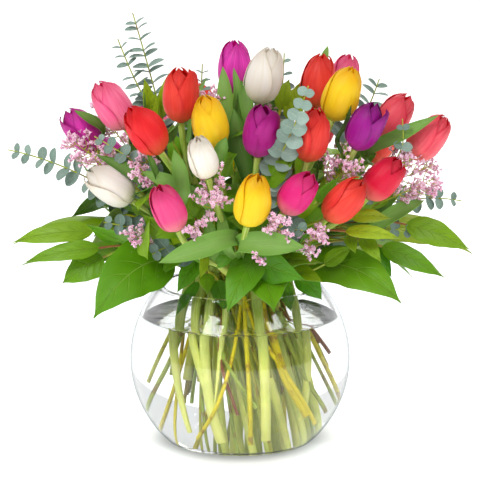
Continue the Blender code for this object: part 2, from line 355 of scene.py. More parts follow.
def turned(vector, axis, angle):
    """vector, turned about a unit axis."""
    vector, axis = np.asarray(vector, float), np.asarray(axis, float)
    along = axis * np.dot(axis, vector)
    return vector * math.cos(angle) + np.cross(axis, vector) * math.sin(angle) + along * (1 - math.cos(angle))


def within(value):
    """value, kept between 0 and 1."""
    return min(max(value, 0), 1)


def jitter(reach):
    """A small random vector, up to reach along each axis."""
    return np.array([chance.uniform(-reach, reach) for _ in range(3)])


def scatter(spread):
    """A random vector, normally spread along each axis."""
    return np.array([chance.gauss(0, spread) for _ in range(3)])


# %% [markdown]
# ## Reading the frame
# Every plant in the frame was skinned over rings, from its foot to its tip. Walking over the mesh from
# the foot, one ring at a time, gives those rings back, and their middles are the plant's own centreline.


# %% Rings of a solid
def layers_from(pole):
    """Rings of points, found by walking outwards from the pole vertex."""
    seen, layer, layers = {pole}, [pole], []
    while layer:
        layers.append(np.array([v.co for v in layer]))
        following = {edge.other_vert(v) for v in layer for edge in v.link_edges} - seen
        seen |= following
        layer = sorted(following, key=lambda v: v.index)
    return layers


def rings_of(node):
    """Rings of a plant's or the vase's solid, from the pole under its lowest ring."""
    shape = bmesh.new()
    shape.from_mesh(frame["nodes"][node].data)
    bmesh.ops.remove_doubles(shape, verts=shape.verts, dist=1e-6)
    shape.verts.index_update()
    lowest = min(v.co.z for v in shape.verts)
    ring = [v.co for v in shape.verts if v.co.z < lowest + 0.05 * MM]
    middle = sum(ring, Vector()) / len(ring)
    rings = layers_from(min(shape.verts, key=lambda v: (v.co - middle).length))
    shape.free()
    return rings


def centreline(rings):
    """The middle of each ring."""
    return np.array([ring.mean(0) for ring in rings])


def bloom_ends(node):
    """Foot and tip of a flower head: the two points of its solid that lie farthest apart."""
    points = np.array([v.co for v in frame["nodes"][node].data.vertices])
    apart = np.linalg.norm(points[:, None] - points[None], axis=2)
    ends = points[list(np.unravel_index(apart.argmax(), apart.shape))]
    return ends[np.argsort(ends[:, 2])]


stem_lines = {n[5:]: centreline(rings_of(n)) for n in frame["nodes"] if n.startswith("stem_")}
sprig_rings = {n: rings_of(n) for n in frame["nodes"] if not n.startswith(("stem_", "bloom_", "vase"))}
bloom_at = {n[6:]: bloom_ends(n) for n in frame["nodes"] if n.startswith("bloom_")}
print(len(stem_lines), "stems,", len(sprig_rings), "sprigs,", len(bloom_at), "blooms read")

# %% [markdown]
# ## The bowl's measures
# The frame's rings give the two spheres that the bowl's wall lies between. They also say how far a stem
# may lean before it meets the glass.

# %% Measure the bowl
vase_rings = rings_of("vase")
profile = np.array([(np.linalg.norm(ring[0][:2]), ring[0][2]) for ring in vase_rings])
highest = int(profile[:, 1].argmax())
outer, inner = profile[2:highest], profile[highest + 1 : -2]


def fitted_circle(points):
    """(centre height, radius) of the circle about the axis through points (radius, height)."""
    slope, level = np.polyfit(points[:, 1], (points**2).sum(1), 1)
    return slope / 2, math.sqrt(level + slope**2 / 4)


BOWL_Z, BOWL_R = fitted_circle(outer)
INNER_Z, INNER_R = fitted_circle(inner)
RIM_Z = float(profile[highest][1])
INSIDE_FLOOR = float(profile[-1][1])
FOOT_R = float(profile[1][0])
print("bowl radius", round(BOWL_R / MM, 1), "wall", round((BOWL_R - INNER_R) / MM, 2), "mm")


# %% [markdown]
# ## The bundle
# All stems cross the mouth of the bowl as one tight twisted bundle. The frame's stems say how it turns:
# one complex number takes a stem's place at the waist to its place on the floor. Extra stems are
# given the free places between them.

# %% Bundle rule
WAIST, FOOT = 2, 1  # which rings of a stem lie at the waist and on the floor
WAIST_REACH = 66 * MM  # the waist's places lie this near to the axis
STEM_R, TWIG_R = 3.4 * MM, 1.7 * MM
STEM_ROOM = 0.4 * MM  # between two stems at the waist
GLASS_ROOM = 5 * MM  # how near a foot may come to the glass
LEAN = 0.24  # where a stem would like to cross the waist, as a share of its end's place
waist_z = float(np.mean([line[WAIST][2] for line in stem_lines.values()]))
foot_z = float(np.mean([line[FOOT][2] for line in stem_lines.values()]))
lines = list(stem_lines.values()) + [centreline(rings) for rings in sprig_rings.values()]
at_waist = np.array([complex(*line[WAIST][:2]) for line in lines])
at_foot = np.array([complex(*line[FOOT][:2]) for line in lines])
spread = (np.conj(at_waist) * at_foot).sum() / (np.abs(at_waist) ** 2).sum()
taken = list(zip(at_waist, [STEM_R] * len(stem_lines) + [TWIG_R] * len(sprig_rings)))
print("from waist to floor the bundle widens", round(abs(spread), 2), "times")


def free_place(wanted, radius):
    """The free place in the bundle's waist nearest to the wanted one. It is then taken."""
    for step in range(4000):
        place = wanted + 0.6 * MM * math.sqrt(step) * cmath.exp(1j * GOLDEN_ANGLE * step)
        clear = all(abs(place - other) > radius + r + STEM_ROOM for other, r in taken)
        if abs(place) < WAIST_REACH and clear:
            taken.append((place, radius))
            return place
    raise RuntimeError("the bundle is full")


def route(end, heading, radius, cut, count):
    """A stem from its cut end in the water, through a free place at the waist, to end.

    cut is the share that is cut off from its way between the floor and the waist.
    """
    end, heading = np.asarray(end, float), unit(np.asarray(heading, float))
    place = free_place(complex(*end[:2]) * LEAN, radius)
    waist = np.array([place.real, place.imag, waist_z])
    low = place * spread * chance.uniform(0.7, 1.2 + 1.3 * cut) * cmath.exp(1j * chance.uniform(-0.7, 0.7))
    foot = np.array([low.real, low.imag, foot_z])
    foot = waist + (foot - waist) * (1 - cut)
    room = math.sqrt(INNER_R**2 - (foot[2] - INNER_Z) ** 2) - radius - GLASS_ROOM
    foot[:2] *= min(1, room / np.hypot(*foot[:2]))
    span = np.linalg.norm(end - waist)
    t = np.linspace(0, 1, 9)[:, None]
    curve = bridged(waist, unit(waist - foot) * span, end, heading * span, t)
    return through(np.concatenate([[foot], curve]), count)


# %% [markdown]
# ## The dome
# The flowers stand on a dome. Leaves between them lie like shingles on a slightly smaller dome and
# face outwards, so no bare stems show between the blooms.

# %% Dome rule
DOME_MIDDLE = np.array([0, 0, 222]) * MM
DOME_REACH = np.array([186, 166, 166]) * MM


def on_dome(bearing, climb, share):
    """The point at a share of the dome's reach, by bearing (-pi/2 is the front) and climb above level."""
    level = math.cos(climb)
    direction = np.array([level * math.cos(bearing), level * math.sin(bearing), math.sin(climb)])
    return DOME_MIDDLE + DOME_REACH * direction * share


def outwards(point):
    """The direction out of the dome at a point."""
    return unit((point - DOME_MIDDLE) / DOME_REACH**2)


print("dome", 2 * DOME_REACH / MM, "mm")


# %% [markdown]
# ## Patterns shared by the finishes
# Four small node groups hold what several finishes need: the growth marks, streaks that run along a
# petal or stem, the midrib and side veins of a leaf, and soft blotches. Each finish places
# them with values of its own.


# %% Growth marks and streaks
def new_group(name, inputs, outputs):
    """An empty shader node group with named number sockets. Returns it with its two end nodes."""
    tree = bpy.data.node_groups.new(name, "ShaderNodeTree")
    for label, value in inputs.items():
        socket = tree.interface.new_socket(label, in_out="INPUT", socket_type="NodeSocketFloat")
        socket.default_value = value
    for label in outputs:
        tree.interface.new_socket(label, in_out="OUTPUT", socket_type="NodeSocketFloat")
    return tree, tree.nodes.new("NodeGroupInput").outputs, tree.nodes.new("NodeGroupOutput").inputs


def growth_group():
    """Along, Across and Tint, from the marks that each mesh carries."""
    tree, _, out = new_group("Growth Marks", {}, ("Along", "Across", "Tint"))
    marks = add(tree, "Attribute", attribute_name="growth")
    parts = add(tree, "SeparateXYZ", {0: marks.outputs["Vector"]})
    for axis, label in zip("XYZ", ("Along", "Across", "Tint")):
        tree.links.new(parts.outputs[axis], out[label])
    return tree


def streak_group():
    """Fine uneven streaks along the growth."""
    inputs = {"Along": 0.0, "Across": 0.0, "Tint": 0.0, "Lines": 14.0, "Stretch": 1.5}
    tree, given, out = new_group("Streaks", inputs, ("Streak",))
    place = {
        "X": maths(tree, "MULTIPLY", given["Across"], given["Lines"]),
        "Y": maths(tree, "MULTIPLY", given["Along"], given["Stretch"]),
        "Z": maths(tree, "MULTIPLY", given["Tint"], 37.0),
    }
    where = add(tree, "CombineXYZ", place).outputs[0]
    wave = add(tree, "TexNoise", {"Vector": where, "Scale": 1.0, "Detail": 3.0, "Roughness": 0.6})
    tree.links.new(ramped(tree, wave.outputs[0], 0.3, 0.7), out["Streak"])
    return tree


# %% Veins and blotches
def vein_group():
    """A midrib, and side veins that leave it at a slant and fade towards the margin."""
    inputs = {"Along": 0.0, "Across": 0.0, "Count": 6.0, "Slant": 1.2, "Width": 0.05}
    tree, given, out = new_group("Leaf Veins", inputs, ("Vein", "Midrib"))
    off_centre = maths(tree, "ABSOLUTE", given["Across"])
    reach = maths(tree, "MULTIPLY", off_centre, given["Slant"])
    phase = maths(tree, "SUBTRACT", maths(tree, "MULTIPLY", given["Along"], given["Count"]), reach)
    distance = maths(tree, "PINGPONG", phase, 0.5)
    width = maths(tree, "MULTIPLY", given["Width"], 2.0)
    side = maths(tree, "SUBTRACT", 1.0, ramped(tree, distance, 0.0, width))
    fade = ramped(tree, off_centre, 0.15, 0.95, 1.0, 0.0)
    midrib = maths(tree, "SUBTRACT", 1.0, ramped(tree, off_centre, 0.0, given["Width"]))
    tree.links.new(maths(tree, "MULTIPLY", side, fade), out["Vein"])
    tree.links.new(midrib, out["Midrib"])
    return tree


def blotch_group():
    """Soft patches, fixed to the piece."""
    tree, given, out = new_group("Blotches", {"Scale": 60.0, "Detail": 2.0}, ("Patch",))
    where = add(tree, "TexCoord").outputs["Object"]
    sockets = {"Vector": where, "Scale": given["Scale"], "Detail": given["Detail"]}
    patches = add(tree, "TexNoise", sockets)
    tree.links.new(ramped(tree, patches.outputs[0], 0.35, 0.65), out["Patch"])
    return tree


GROWTH, STREAKS, VEINS, BLOTCHES = growth_group(), streak_group(), vein_group(), blotch_group()
print("groups:", [group.name for group in (GROWTH, STREAKS, VEINS, BLOTCHES)])


# %% Helpers for finishes
def placed(tree, group, **inputs):
    """A copy of a group in a material's tree, by its outputs."""
    return add(tree, "Group", inputs, node_tree=group).outputs


def streaked(tree, mark, lines, stretch):
    """Streaks along the growth: more of them with lines, and shorter ones with stretch."""
    spot = {label: mark[label] for label in ("Along", "Across", "Tint")}
    return placed(tree, STREAKS, **spot, Lines=lines, Stretch=stretch)["Streak"]


def finish(name, roughness, **constants):
    """A new material. Returns it, its tree, its shader's inputs and its growth marks."""
    made = bpy.data.materials.new(name)
    made.use_nodes = True
    shader = made.node_tree.nodes["Principled BSDF"].inputs
    shader["Roughness"].default_value = roughness
    for label, value in constants.items():
        shader[label.replace("_", " ")].default_value = value
    return made, made.node_tree, shader, placed(made.node_tree, GROWTH)


def bump(tree, shader, height, depth, strength=1.0):
    """Raises the surface by height times depth, in metres."""
    raised = add(tree, "Bump", {"Height": height, "Distance": depth, "Strength": strength})
    tree.links.new(raised.outputs[0], shader["Normal"])


# %% [markdown]
# ## Petal finish
# A tulip petal is silky and slightly see-through, most of all at its tip. It is paler or warmer at the
# foot and deeper along its margin, partly its own colour and partly painted shade in the seams where
# petals overlap. Its colour is drawn out in fine lines from foot to tip. One function makes all seven
# colours. The tint that each flower carries moves it between its kind's two shades.

# %% Petals
PETAL_SHADES = {
    # slot: one shade, the other shade, colour at the foot, colour of the streaks
    "red_petal": ((0.76, 0.002, 0.014), (0.88, 0.075, 0.045), (0.82, 0.13, 0.05), (0.64, 0.001, 0.008)),
    "coral_petal": ((0.66, 0.002, 0.030), (0.88, 0.14, 0.17), (0.86, 0.22, 0.18), (0.68, 0.006, 0.05)),
    "pink_petal": ((0.92, 0.22, 0.35), (0.66, 0.004, 0.18), (0.86, 0.30, 0.30), (0.74, 0.02, 0.18)),
    "magenta_petal": ((0.95, 0.065, 0.56), (0.38, 0.004, 0.20), (0.58, 0.06, 0.36), (0.34, 0.001, 0.18)),
    "purple_petal": ((0.44, 0.006, 0.33), (0.34, 0.004, 0.26), (0.46, 0.03, 0.32), (0.18, 0.001, 0.14)),
    "white_petal": ((0.86, 0.82, 0.765), (0.87, 0.835, 0.785), (0.83, 0.80, 0.60), (0.78, 0.70, 0.56)),
    "yellow_petal": ((0.92, 0.60, 0.008), (0.94, 0.66, 0.018), (0.90, 0.66, 0.03), (0.88, 0.50, 0.002)),
}


def mixed_in(tree, share, other):
    """Puts a share of another shader into the finish. share is a number or a socket."""
    mixed = add(tree, "MixShader", {0: share, 1: tree.nodes["Principled BSDF"].outputs[0], 2: other})
    tree.links.new(mixed.outputs[0], tree.nodes["Material Output"].inputs["Surface"])


def see_through(tree, colour, share):
    """Lets a share of the light through a thin blade, tinged with its colour."""
    mixed_in(tree, share, add(tree, "BsdfTranslucent", {"Color": colour}).outputs[0])


JUICY = {"Subsurface_Weight": 0.08, "Subsurface_Scale": 2 * MM}  # light wanders a little inside


def petal_finish(slot):
    """One petal colour, streaked along its growth."""
    one, other, at_foot, streak_colour = PETAL_SHADES[slot]
    made, tree, shader, mark = finish(slot, 0.42, Specular_IOR_Level=0.28, **JUICY)
    shader["Subsurface Radius"].default_value = (1.0, 0.5, 0.4)
    wide, fine = streaked(tree, mark, 5.0, 1.2), streaked(tree, mark, 26.0, 2.0)
    colour = blended(tree, mark["Tint"], one, other)
    colour = washed(tree, colour, streak_colour, wide, 0.45)
    colour = washed(tree, colour, streak_colour, fine, 0.30)
    # The margin turns to the streak colour: partly the petal's own deeper edge, partly painted shade in the
    # seams between petals.
    margin = ramped(tree, maths(tree, "ABSOLUTE", mark["Across"]), 0.80, 1.0, 0.0, 0.60)
    colour = blended(tree, margin, colour, streak_colour)
    colour = blended(tree, ramped(tree, mark["Along"], 0.0, 0.34, 0.85, 0.0), colour, at_foot)
    tree.links.new(colour, shader["Base Color"])
    tree.links.new(ramped(tree, fine, 0.0, 1.0, 0.34, 0.48), shader["Roughness"])
    bump(tree, shader, maths(tree, "ADD", maths(tree, "MULTIPLY", fine, 0.4), wide), 0.25 * MM, 0.6)
    growth = add(tree, "Attribute", attribute_name="growth").outputs["Vector"]
    along = add(tree, "SeparateXYZ", {0: growth}).outputs["X"]
    see_through(tree, colour, ramped(tree, along, 0.6, 1.0, 0.12, 0.6))
    return made


petals = {slot: petal_finish(slot) for slot in PETAL_SHADES}
print(len(petals), "petal colours")


# %% [markdown]
# ## Green finishes
# Stems are matt green, paler low down and streaked lengthwise. Woody twigs run from yellow-green to
# red-brown. Salal leaves are glossy above with a pale midrib, and dull and pale below. Eucalyptus is
# grey-green with a bloom like dust, and tulip leaves are smooth with parallel lines.


# %% Stems and twigs
PALE_STEM, OLIVE_STEM, HIGH_STEM = (0.92, 0.94, 0.22), (0.54, 0.64, 0.02), (0.24, 0.42, 0.03)
STEM_STREAKS = (0.92, 0.92, 0.36)


def stem_finish():
    """A stem that goes from one of two greens in the water, by tint, to another at its top."""
    made, tree, shader, mark = finish("stem_green", 0.45, Specular_IOR_Level=0.15, **JUICY)
    streak = streaked(tree, mark, 4.0, 9.0)
    patch = placed(tree, BLOTCHES, Scale=45.0)["Patch"]
    colour = blended(tree, mark["Tint"], PALE_STEM, OLIVE_STEM)
    colour = blended(tree, ramped(tree, mark["Along"], 0.2, 0.95), colour, HIGH_STEM)
    colour = washed(tree, colour, STEM_STREAKS, streak, 0.5)
    colour = stained(tree, colour, (0.72, 0.76, 0.70), patch, 0.5)
    tree.links.new(colour, shader["Base Color"])
    bump(tree, shader, streak, 0.3 * MM, 0.7)
    return made


def twig_finish():
    """Thin woody stems: yellow-green ones and red-brown ones, by their tint, with brown scars."""
    made, tree, shader, mark = finish("twig", 0.5, Specular_IOR_Level=0.2)
    streak = streaked(tree, mark, 2.0, 14.0)
    patch = placed(tree, BLOTCHES, Scale=70.0, Detail=4.0)["Patch"]
    young = blended(tree, ramped(tree, mark["Tint"], 0.0, 0.5), (0.84, 0.70, 0.01), (0.30, 0.42, 0.06))
    colour = blended(tree, ramped(tree, mark["Tint"], 0.6, 0.85), young, (0.24, 0.055, 0.035))
    colour = washed(tree, colour, (0.42, 0.34, 0.03), streak, 0.30)
    colour = washed(tree, colour, (0.24, 0.07, 0.03), ramped(tree, patch, 0.75, 1.0), 0.6)
    tree.links.new(colour, shader["Base Color"])
    bump(tree, shader, maths(tree, "ADD", streak, patch), 0.25 * MM, 0.8)
    return made


stem_green, twig = stem_finish(), twig_finish()
print("stems and twigs")


# %% Leaves
def leaf_finish(name, shades, vein_colour, veins, roughness, depth, lines=3.0):
    """A leaf face: two greens by tint, blotched, with a relief of veins or parallel lines depth mm deep."""
    made, tree, shader, mark = finish(name, roughness, Specular_IOR_Level=0.28)
    place = {"Along": mark["Along"], "Across": mark["Across"]}
    vein = placed(tree, VEINS, **place, **dict(zip(("Count", "Slant", "Width"), veins)))
    streak = streaked(tree, mark, lines, 1.5)
    patch = placed(tree, BLOTCHES, Scale=55.0, Detail=3.0)["Patch"]
    colour = blended(tree, mark["Tint"], *shades)
    colour = stained(tree, colour, (0.70, 0.78, 0.66), patch, 0.35)
    colour = stained(tree, colour, (1.25, 1.18, 1.3), streak, 0.35)
    colour = washed(tree, colour, vein_colour, vein["Vein"], 0.30)
    colour = washed(tree, colour, vein_colour, vein["Midrib"], 0.75)
    tree.links.new(colour, shader["Base Color"])
    sunken, raised = maths(tree, "MULTIPLY", vein["Vein"], -0.8), maths(tree, "MULTIPLY", streak, 0.5)
    height = maths(tree, "SUBTRACT", maths(tree, "ADD", sunken, raised), vein["Midrib"])
    bump(tree, shader, height, depth * MM, 0.8)
    see_through(tree, colour, 0.08)
    return made


# Veins are a count, a slant and a width. Greens are the two shades that a leaf's tint lies between.
SALAL_VEINS, PARALLEL, EUCALYPTUS_VEINS = (6.0, 1.5, 0.035), (0.0, 0.0, 0.02), (4.0, 1.0, 0.05)
SALAL_TOP = ((0.070, 0.255, 0.002), (0.29, 0.42, 0.006))
SALAL_UNDER = ((0.16, 0.30, 0.06), (0.27, 0.38, 0.09))
TULIP_GREENS = ((0.055, 0.17, 0.012), (0.19, 0.38, 0.06))
EUCALYPTUS_GREYS = ((0.13, 0.21, 0.165), (0.30, 0.41, 0.35))

salal_top = leaf_finish("salal_leaf", SALAL_TOP, (0.26, 0.44, 0.05), SALAL_VEINS, 0.40, 0.7)
salal_under = leaf_finish("salal_leaf_underside", SALAL_UNDER, (0.42, 0.34, 0.12), SALAL_VEINS, 0.6, -0.7)
tulip_leaf = leaf_finish("tulip_leaf", TULIP_GREENS, (0.26, 0.42, 0.12), PARALLEL, 0.45, 0.3, 16.0)
eucalyptus_leaf = leaf_finish("eucalyptus", EUCALYPTUS_GREYS, (0.42, 0.50, 0.42), EUCALYPTUS_VEINS, 0.62, 0.2)
print("leaf faces made")


# %% Sea lavender
def floret_finish():
    """Tiny papery flowers, nearly white at the rim and pink in the throat."""
    made, tree, shader, mark = finish("sea_lavender", 0.7)
    colour = blended(tree, mark["Tint"], (0.80, 0.42, 0.60), (0.88, 0.66, 0.76))
    colour = blended(tree, ramped(tree, mark["Along"], 0.15, 0.6, 0.8, 0.0), colour, (0.52, 0.10, 0.26))
    patch = placed(tree, BLOTCHES, Scale=300.0)["Patch"]
    colour = washed(tree, colour, (0.93, 0.84, 0.88), patch, 0.35)
    tree.links.new(colour, shader["Base Color"])
    bump(tree, shader, patch, 0.1 * MM, 0.5)
    return made


floret_pink = floret_finish()
print("sea lavender made")

# %% [markdown]
# ## The glass bowl
# A fishbowl vase is blown, so it is one skin of even thickness with a fire-rounded rim and a
# thicker flat foot. Here it is turned on a finer lathe than the frame's, because glass shows every facet.
# The water fills it with a thin raised edge where it clings to the glass, and a dark line is painted along
# that edge.

# %% Lathe and clear finish
def arc(centre, radius, low, high, steps):
    """(radius, height) along a circle about the axis, from one height to another."""
    first, last = (math.asin((z - centre) / radius) for z in (low, high))
    angles = np.linspace(first, last, steps)
    return np.stack([radius * np.cos(angles), centre + radius * np.sin(angles)], -1)


LATHE_SIDES = 128


def lathe(name, outline, tints, material, stands_for=()):
    """A glass piece turned about the upright axis from (radius, height) points, each with its tint."""
    angle = np.linspace(0, 2 * np.pi, LATHE_SIDES, endpoint=False)
    circle = np.stack([np.cos(angle), np.sin(angle)], -1)
    rows = [np.column_stack([circle * radius, np.full(LATHE_SIDES, height)]) for radius, height in outline]
    marks = marked(len(rows), LATHE_SIDES, np.array(tints)[:, None])
    growth = Growth()
    growth.grid(*closed_ends(np.array(rows), marks), np.zeros(LATHE_SIDES, int))
    growth.piece(name, [material], stands_for)


def clear_finish(name, ior, tinge, dark, painted_edge_share, ripple):
    """A clear solid with painted shade: darker where its tint says so, and darker by the given edge share
    where it is seen edge on.

    ripple is how high waves stand on its level faces. Lamps shine through it, so that what stands inside
    is lit.
    """
    made, tree, shader, mark = finish(name, 0.0, IOR=ior, Transmission_Weight=1.0)
    shader["Specular Tint"].default_value = (0.55, 0.56, 0.57, 1)
    patch = placed(tree, BLOTCHES, Scale=8.0)["Patch"]
    colour = blended(tree, patch, tinge, tuple(0.5 + c / 2 for c in tinge))
    facing = add(tree, "LayerWeight", {"Blend": 0.5}).outputs["Facing"]
    # painted shade: the colour turns dark where the surface is seen edge on and where the tint says so
    shade = maths(tree, "MAXIMUM", ramped(tree, facing, 0.72, 1.0, 0.0, painted_edge_share), mark["Tint"])
    tree.links.new(blended(tree, shade, colour, dark), shader["Base Color"])
    level = add(tree, "SeparateXYZ", {0: add(tree, "NewGeometry").outputs["Normal"]}).outputs["Z"]
    waves = placed(tree, BLOTCHES, Scale=45.0, Detail=1.0)["Patch"]
    bump(tree, shader, maths(tree, "MULTIPLY", waves, ramped(tree, level, 0.9, 0.99)), ripple)
    shadow = add(tree, "LightPath").outputs["Is Shadow Ray"]
    # painted dark outline: seen edge on, camera rays pass a dark see-through film, while shadow rays pass
    # clear
    outline = ramped(tree, facing, 0.74, 0.94, 0.0, painted_edge_share)
    passing = blended(tree, shadow, (0.58, 0.62, 0.63), (0.98, 0.99, 0.99))
    clear = add(tree, "BsdfTransparent", {"Color": passing}).outputs[0]
    mixed_in(tree, maths(tree, "MAXIMUM", shadow, outline), clear)
    return made


# %% Turn the bowl
ROUNDING = (BOWL_R - INNER_R) / 2
FLAT_START = 0.3  # a level end is drawn from this share of its radius outwards
# The dark colours given here are painted shade: a dark outline on the glass, and a dark line along the
# water's raised edge.
glass = clear_finish("glass", 1.5, (0.89, 0.90, 0.91), (0.46, 0.51, 0.50), 0.9, 0.02 * MM)
water = clear_finish("water", 1.333, (0.985, 0.995, 0.99), (0.22, 0.28, 0.25), 0.0, 1.2 * MM)

outside = arc(BOWL_Z, BOWL_R, ROUNDING, RIM_Z - ROUNDING, 60)
inside = arc(INNER_Z, INNER_R, INSIDE_FLOOR + ROUNDING, RIM_Z - ROUNDING, 60)[::-1]
lip = (outside[-1] + inside[0]) / 2
turn = np.linspace(0, np.pi, 9)[1:-1]
across = (outside[-1] - inside[0]) / 2
lip_curve = [lip + across * math.cos(a) + np.array([0, ROUNDING * math.sin(a)]) for a in turn]
foot_edge = [(FOOT_R * 0.2, 0), (FOOT_R * 0.9, 0), (FOOT_R, 0.2 * MM)]
floor_inside = [(inside[-1][0] - ROUNDING, INSIDE_FLOOR), (inside[-1][0] * FLAT_START, INSIDE_FLOOR)]
bowl_outline = [*foot_edge, *outside, *lip_curve, *inside, *floor_inside]
lathe("glass_bowl", bowl_outline, [0.0] * len(bowl_outline), glass, ["vase"])
print("wall", round(2 * ROUNDING / MM, 2), "mm, rim at", round(RIM_Z / MM), "mm")

# %% Turn the water
WATER_Z = 128 * MM
MENISCUS, MENISCUS_REACH = 3.5 * MM, 6 * MM  # how high and how far in the raised edge goes
# The water's side lies inside the wall, so that no film of air shows between the two.
WATER_R = INNER_R + ROUNDING / 2
wet = arc(INNER_Z, WATER_R, INSIDE_FLOOR - ROUNDING / 2, WATER_Z + MENISCUS, 50)
climb = np.linspace(0, 1, 7)[1:]
edge = [(wet[-1][0] - MENISCUS_REACH * c - ROUNDING, WATER_Z + MENISCUS * (1 - c) ** 3) for c in climb]
water_outline = [(wet[0][0] * FLAT_START, wet[0][1]), *wet, *edge, (wet[-1][0] * FLAT_START, WATER_Z)]
# painted shade: the rows of the raised edge get a tint that turns the water dark there
painted_meniscus_shade = [0.0] * len(wet) + [0.9] * len(climb) + [0.0] * 2
lathe("water", water_outline, painted_meniscus_shade, water)
print("water", round((WATER_Z - INSIDE_FLOOR) / MM), "mm deep")

# %% [markdown]
# ## A tulip
# A tulip head is six petals in two rings of three. Each outer petal is wide and cupped, with one edge
# tucked under its neighbour, and narrows to a point. The inner three stand in the gaps and reach a
# little higher. The petals are grids bent round the bud's own axis, from its foot to its tip.

# %% Shape of the bud
PETAL_ROWS, PETAL_COLUMNS = 20, 13
PETAL_THICKNESS = 0.55 * MM
BUD_HEIGHTS = (0.0, 0.04, 0.12, 0.24, 0.38, 0.55, 0.72, 0.86, 0.95, 1.0)
BUD_RADII = (0.16, 0.46, 0.74, 0.93, 1.0, 0.97, 0.86, 0.69, 0.50, 0.32)
BUD_WIDTH = 0.308  # radius of a closed bud against its length


def petal(growth, foot, axis, side, length, turn_angle, whorl, tint, openness):
    """One petal of a bud that stands on foot. whorl is 0 for an outer petal and 1 for an inner one."""
    t = np.linspace(0, 1, PETAL_ROWS)[:, None] ** 0.9
    u = np.linspace(-1, 1, PETAL_COLUMNS)[None, :]
    # The inner petals lie closer and close over at the top, and a loose petal leans out towards its tip.
    radius = np.interp(t, BUD_HEIGHTS, BUD_RADII) * length * BUD_WIDTH
    radius = radius * (1 - whorl * (0.08 + 0.50 * t**12)) + openness * length * BUD_WIDTH * t**2.2
    # From a third of its height up, a petal narrows to its point.
    top = np.clip((t - 0.34) / 0.66, 0, 1)
    narrowing = (1 - top ** (2.3 + 0.9 * whorl)) ** (0.75 - 0.15 * whorl)
    half_angle = (1.26 - 0.06 * whorl) * narrowing * (0.80 + 0.20 * np.clip(t / 0.3, 0, 1))
    # Small shares of the radius: a ruffled margin, the edge that is tucked in, a crease and a flared rim.
    ruffle = 0.020 * np.sin(8 * t + 6 * chance.random()) * u**2
    tuck = (0.055 - 0.025 * whorl) * u
    crease = -0.022 * np.exp(-((u / 0.16) ** 2)) * np.sin(np.pi * t)
    flare = 0.025 * np.abs(u) ** 3 * t * (1 - whorl)
    reach = radius * (1 + ruffle + tuck + crease + flare)
    angle = turn_angle + u * half_angle
    height = t * length * (1 - 0.06 * chance.random() * (1 - whorl)) * (1 - 0.02 * np.abs(u))
    across = side * np.cos(angle)[..., None] + np.cross(axis, side) * np.sin(angle)[..., None]
    face = foot + axis * height[..., None] + across * reach[..., None]
    growth.blade(face, tint, PETAL_THICKNESS)


# %% Head and stem
def tulip_head(name, foot, tip, slot, tint, loosened=None, stands_for=()):
    """Six petals round the line from foot to tip, with the pistil and stamens between them.

    loosened is where the first petal stands and how far it has come away from the others.
    """
    axis = unit(tip - foot)
    length = np.linalg.norm(tip - foot)
    side = unit(np.cross(axis, (0.3, 1.0, 0.2)))
    first, away = loosened or (chance.uniform(0, 2.1), 0.0)
    loose = chance.uniform(0.0, 0.07)
    growth = Growth()
    for whorl in (1, 0):
        for i in range(3):
            shade = within(tint + chance.uniform(-0.15, 0.15))
            angle = first + 2 * math.pi * (i + whorl / 2) / 3 + chance.uniform(-0.08, 0.08)
            openness = loose + chance.uniform(0, 0.07) * (1 - whorl) + away * (i == whorl == 0)
            petal(growth, foot, axis, side, length, angle, whorl, shade, openness)
    pistil = foot + axis * np.linspace(0.02, 0.42, 5)[:, None] * length
    growth.tube(pistil, np.array([2.2, 2.8, 2.6, 2.2, 3.0]) * MM, 8, 0.5, 1)
    for i in range(6):  # the stamens
        out = turned(side, axis, math.pi * i / 3)
        line = foot + axis * np.linspace(0.03, 0.36, 4)[:, None] * length
        line = line + out * np.linspace(3.4, 6.0, 4)[:, None] * MM
        growth.tube(line, np.array([0.6, 0.6, 1.3, 1.1]) * MM, 6, 0.9, 1)
    growth.piece(name, [petals[slot], stem_green], stands_for)


def tulip_stem(name, path, tint, stands_for=()):
    """A juicy round stem with a joint or two. On some, the foot of a leaf still wraps it in the water."""
    t = np.linspace(0, 1, len(path))
    swell = 1 + 0.10 * np.exp(-t / 0.05) + 0.12 * np.exp(-(1 - t) / 0.03) - 0.14 * t
    for joint in (chance.uniform(0.12, 0.2), chance.uniform(0.28, 0.4)):
        swell = swell + 0.16 * np.exp(-(((t - joint) / 0.012) ** 2))
    growth = Growth()
    growth.tube(path, 3.45 * MM * swell, 14, tint)
    if chance.random() < 0.4:
        first = int(len(path) * chance.uniform(0.04, 0.14))
        wrap = path[first : int(len(path) * 0.46)]
        growth.tube(wrap, np.linspace(3.7, 6.2, len(wrap)) * MM, 16, min(tint + 0.3, 1))
    growth.piece(name, [stem_green], stands_for)


# %% [markdown]
# ## The tulips of the frame
# Each flower head and stem of the frame gets its real petals and a smooth stem on exactly the same line.

# %% Flowers on their stems
BLOOM_TINTS = {
    # where each flower's colour lies between its kind's two shades, 0.5 for the others
    "coral_left": 0.0, "pink_front_left": 0.6, "pink_front_right": 1.0, "pink_back": 0.2,
    "magenta_top": 0.0, "magenta_left": 0.45, "magenta_middle": 0.85, "red_front_right": 1.0,
    "red_left_high": 0.85, "red_left": 0.1, "red_middle": 0.7, "red_top": 0.85,
    "crimson_right": 0.1, "coral_right": 0.9, "coral_far_right": 0.8,
}  # fmt: skip
LOOSENED = {
    # where the first petal stands, in radians, and how far it has come away
    "purple_right": (3.1, 0.42), "magenta_middle": (2.6, 0.34), "red_left_high": (2.9, 0.34),
    "red_left": (2.4, 0.14), "magenta_left": (0.6, 0.16), "coral_left": (2.7, 0.12),
    "pink_front_right": (2.9, 0.16), "crimson_right": (2.8, 0.15), "coral_right": (1.2, 0.12),
    "white_left": (0.5, 0.12),
}  # fmt: skip
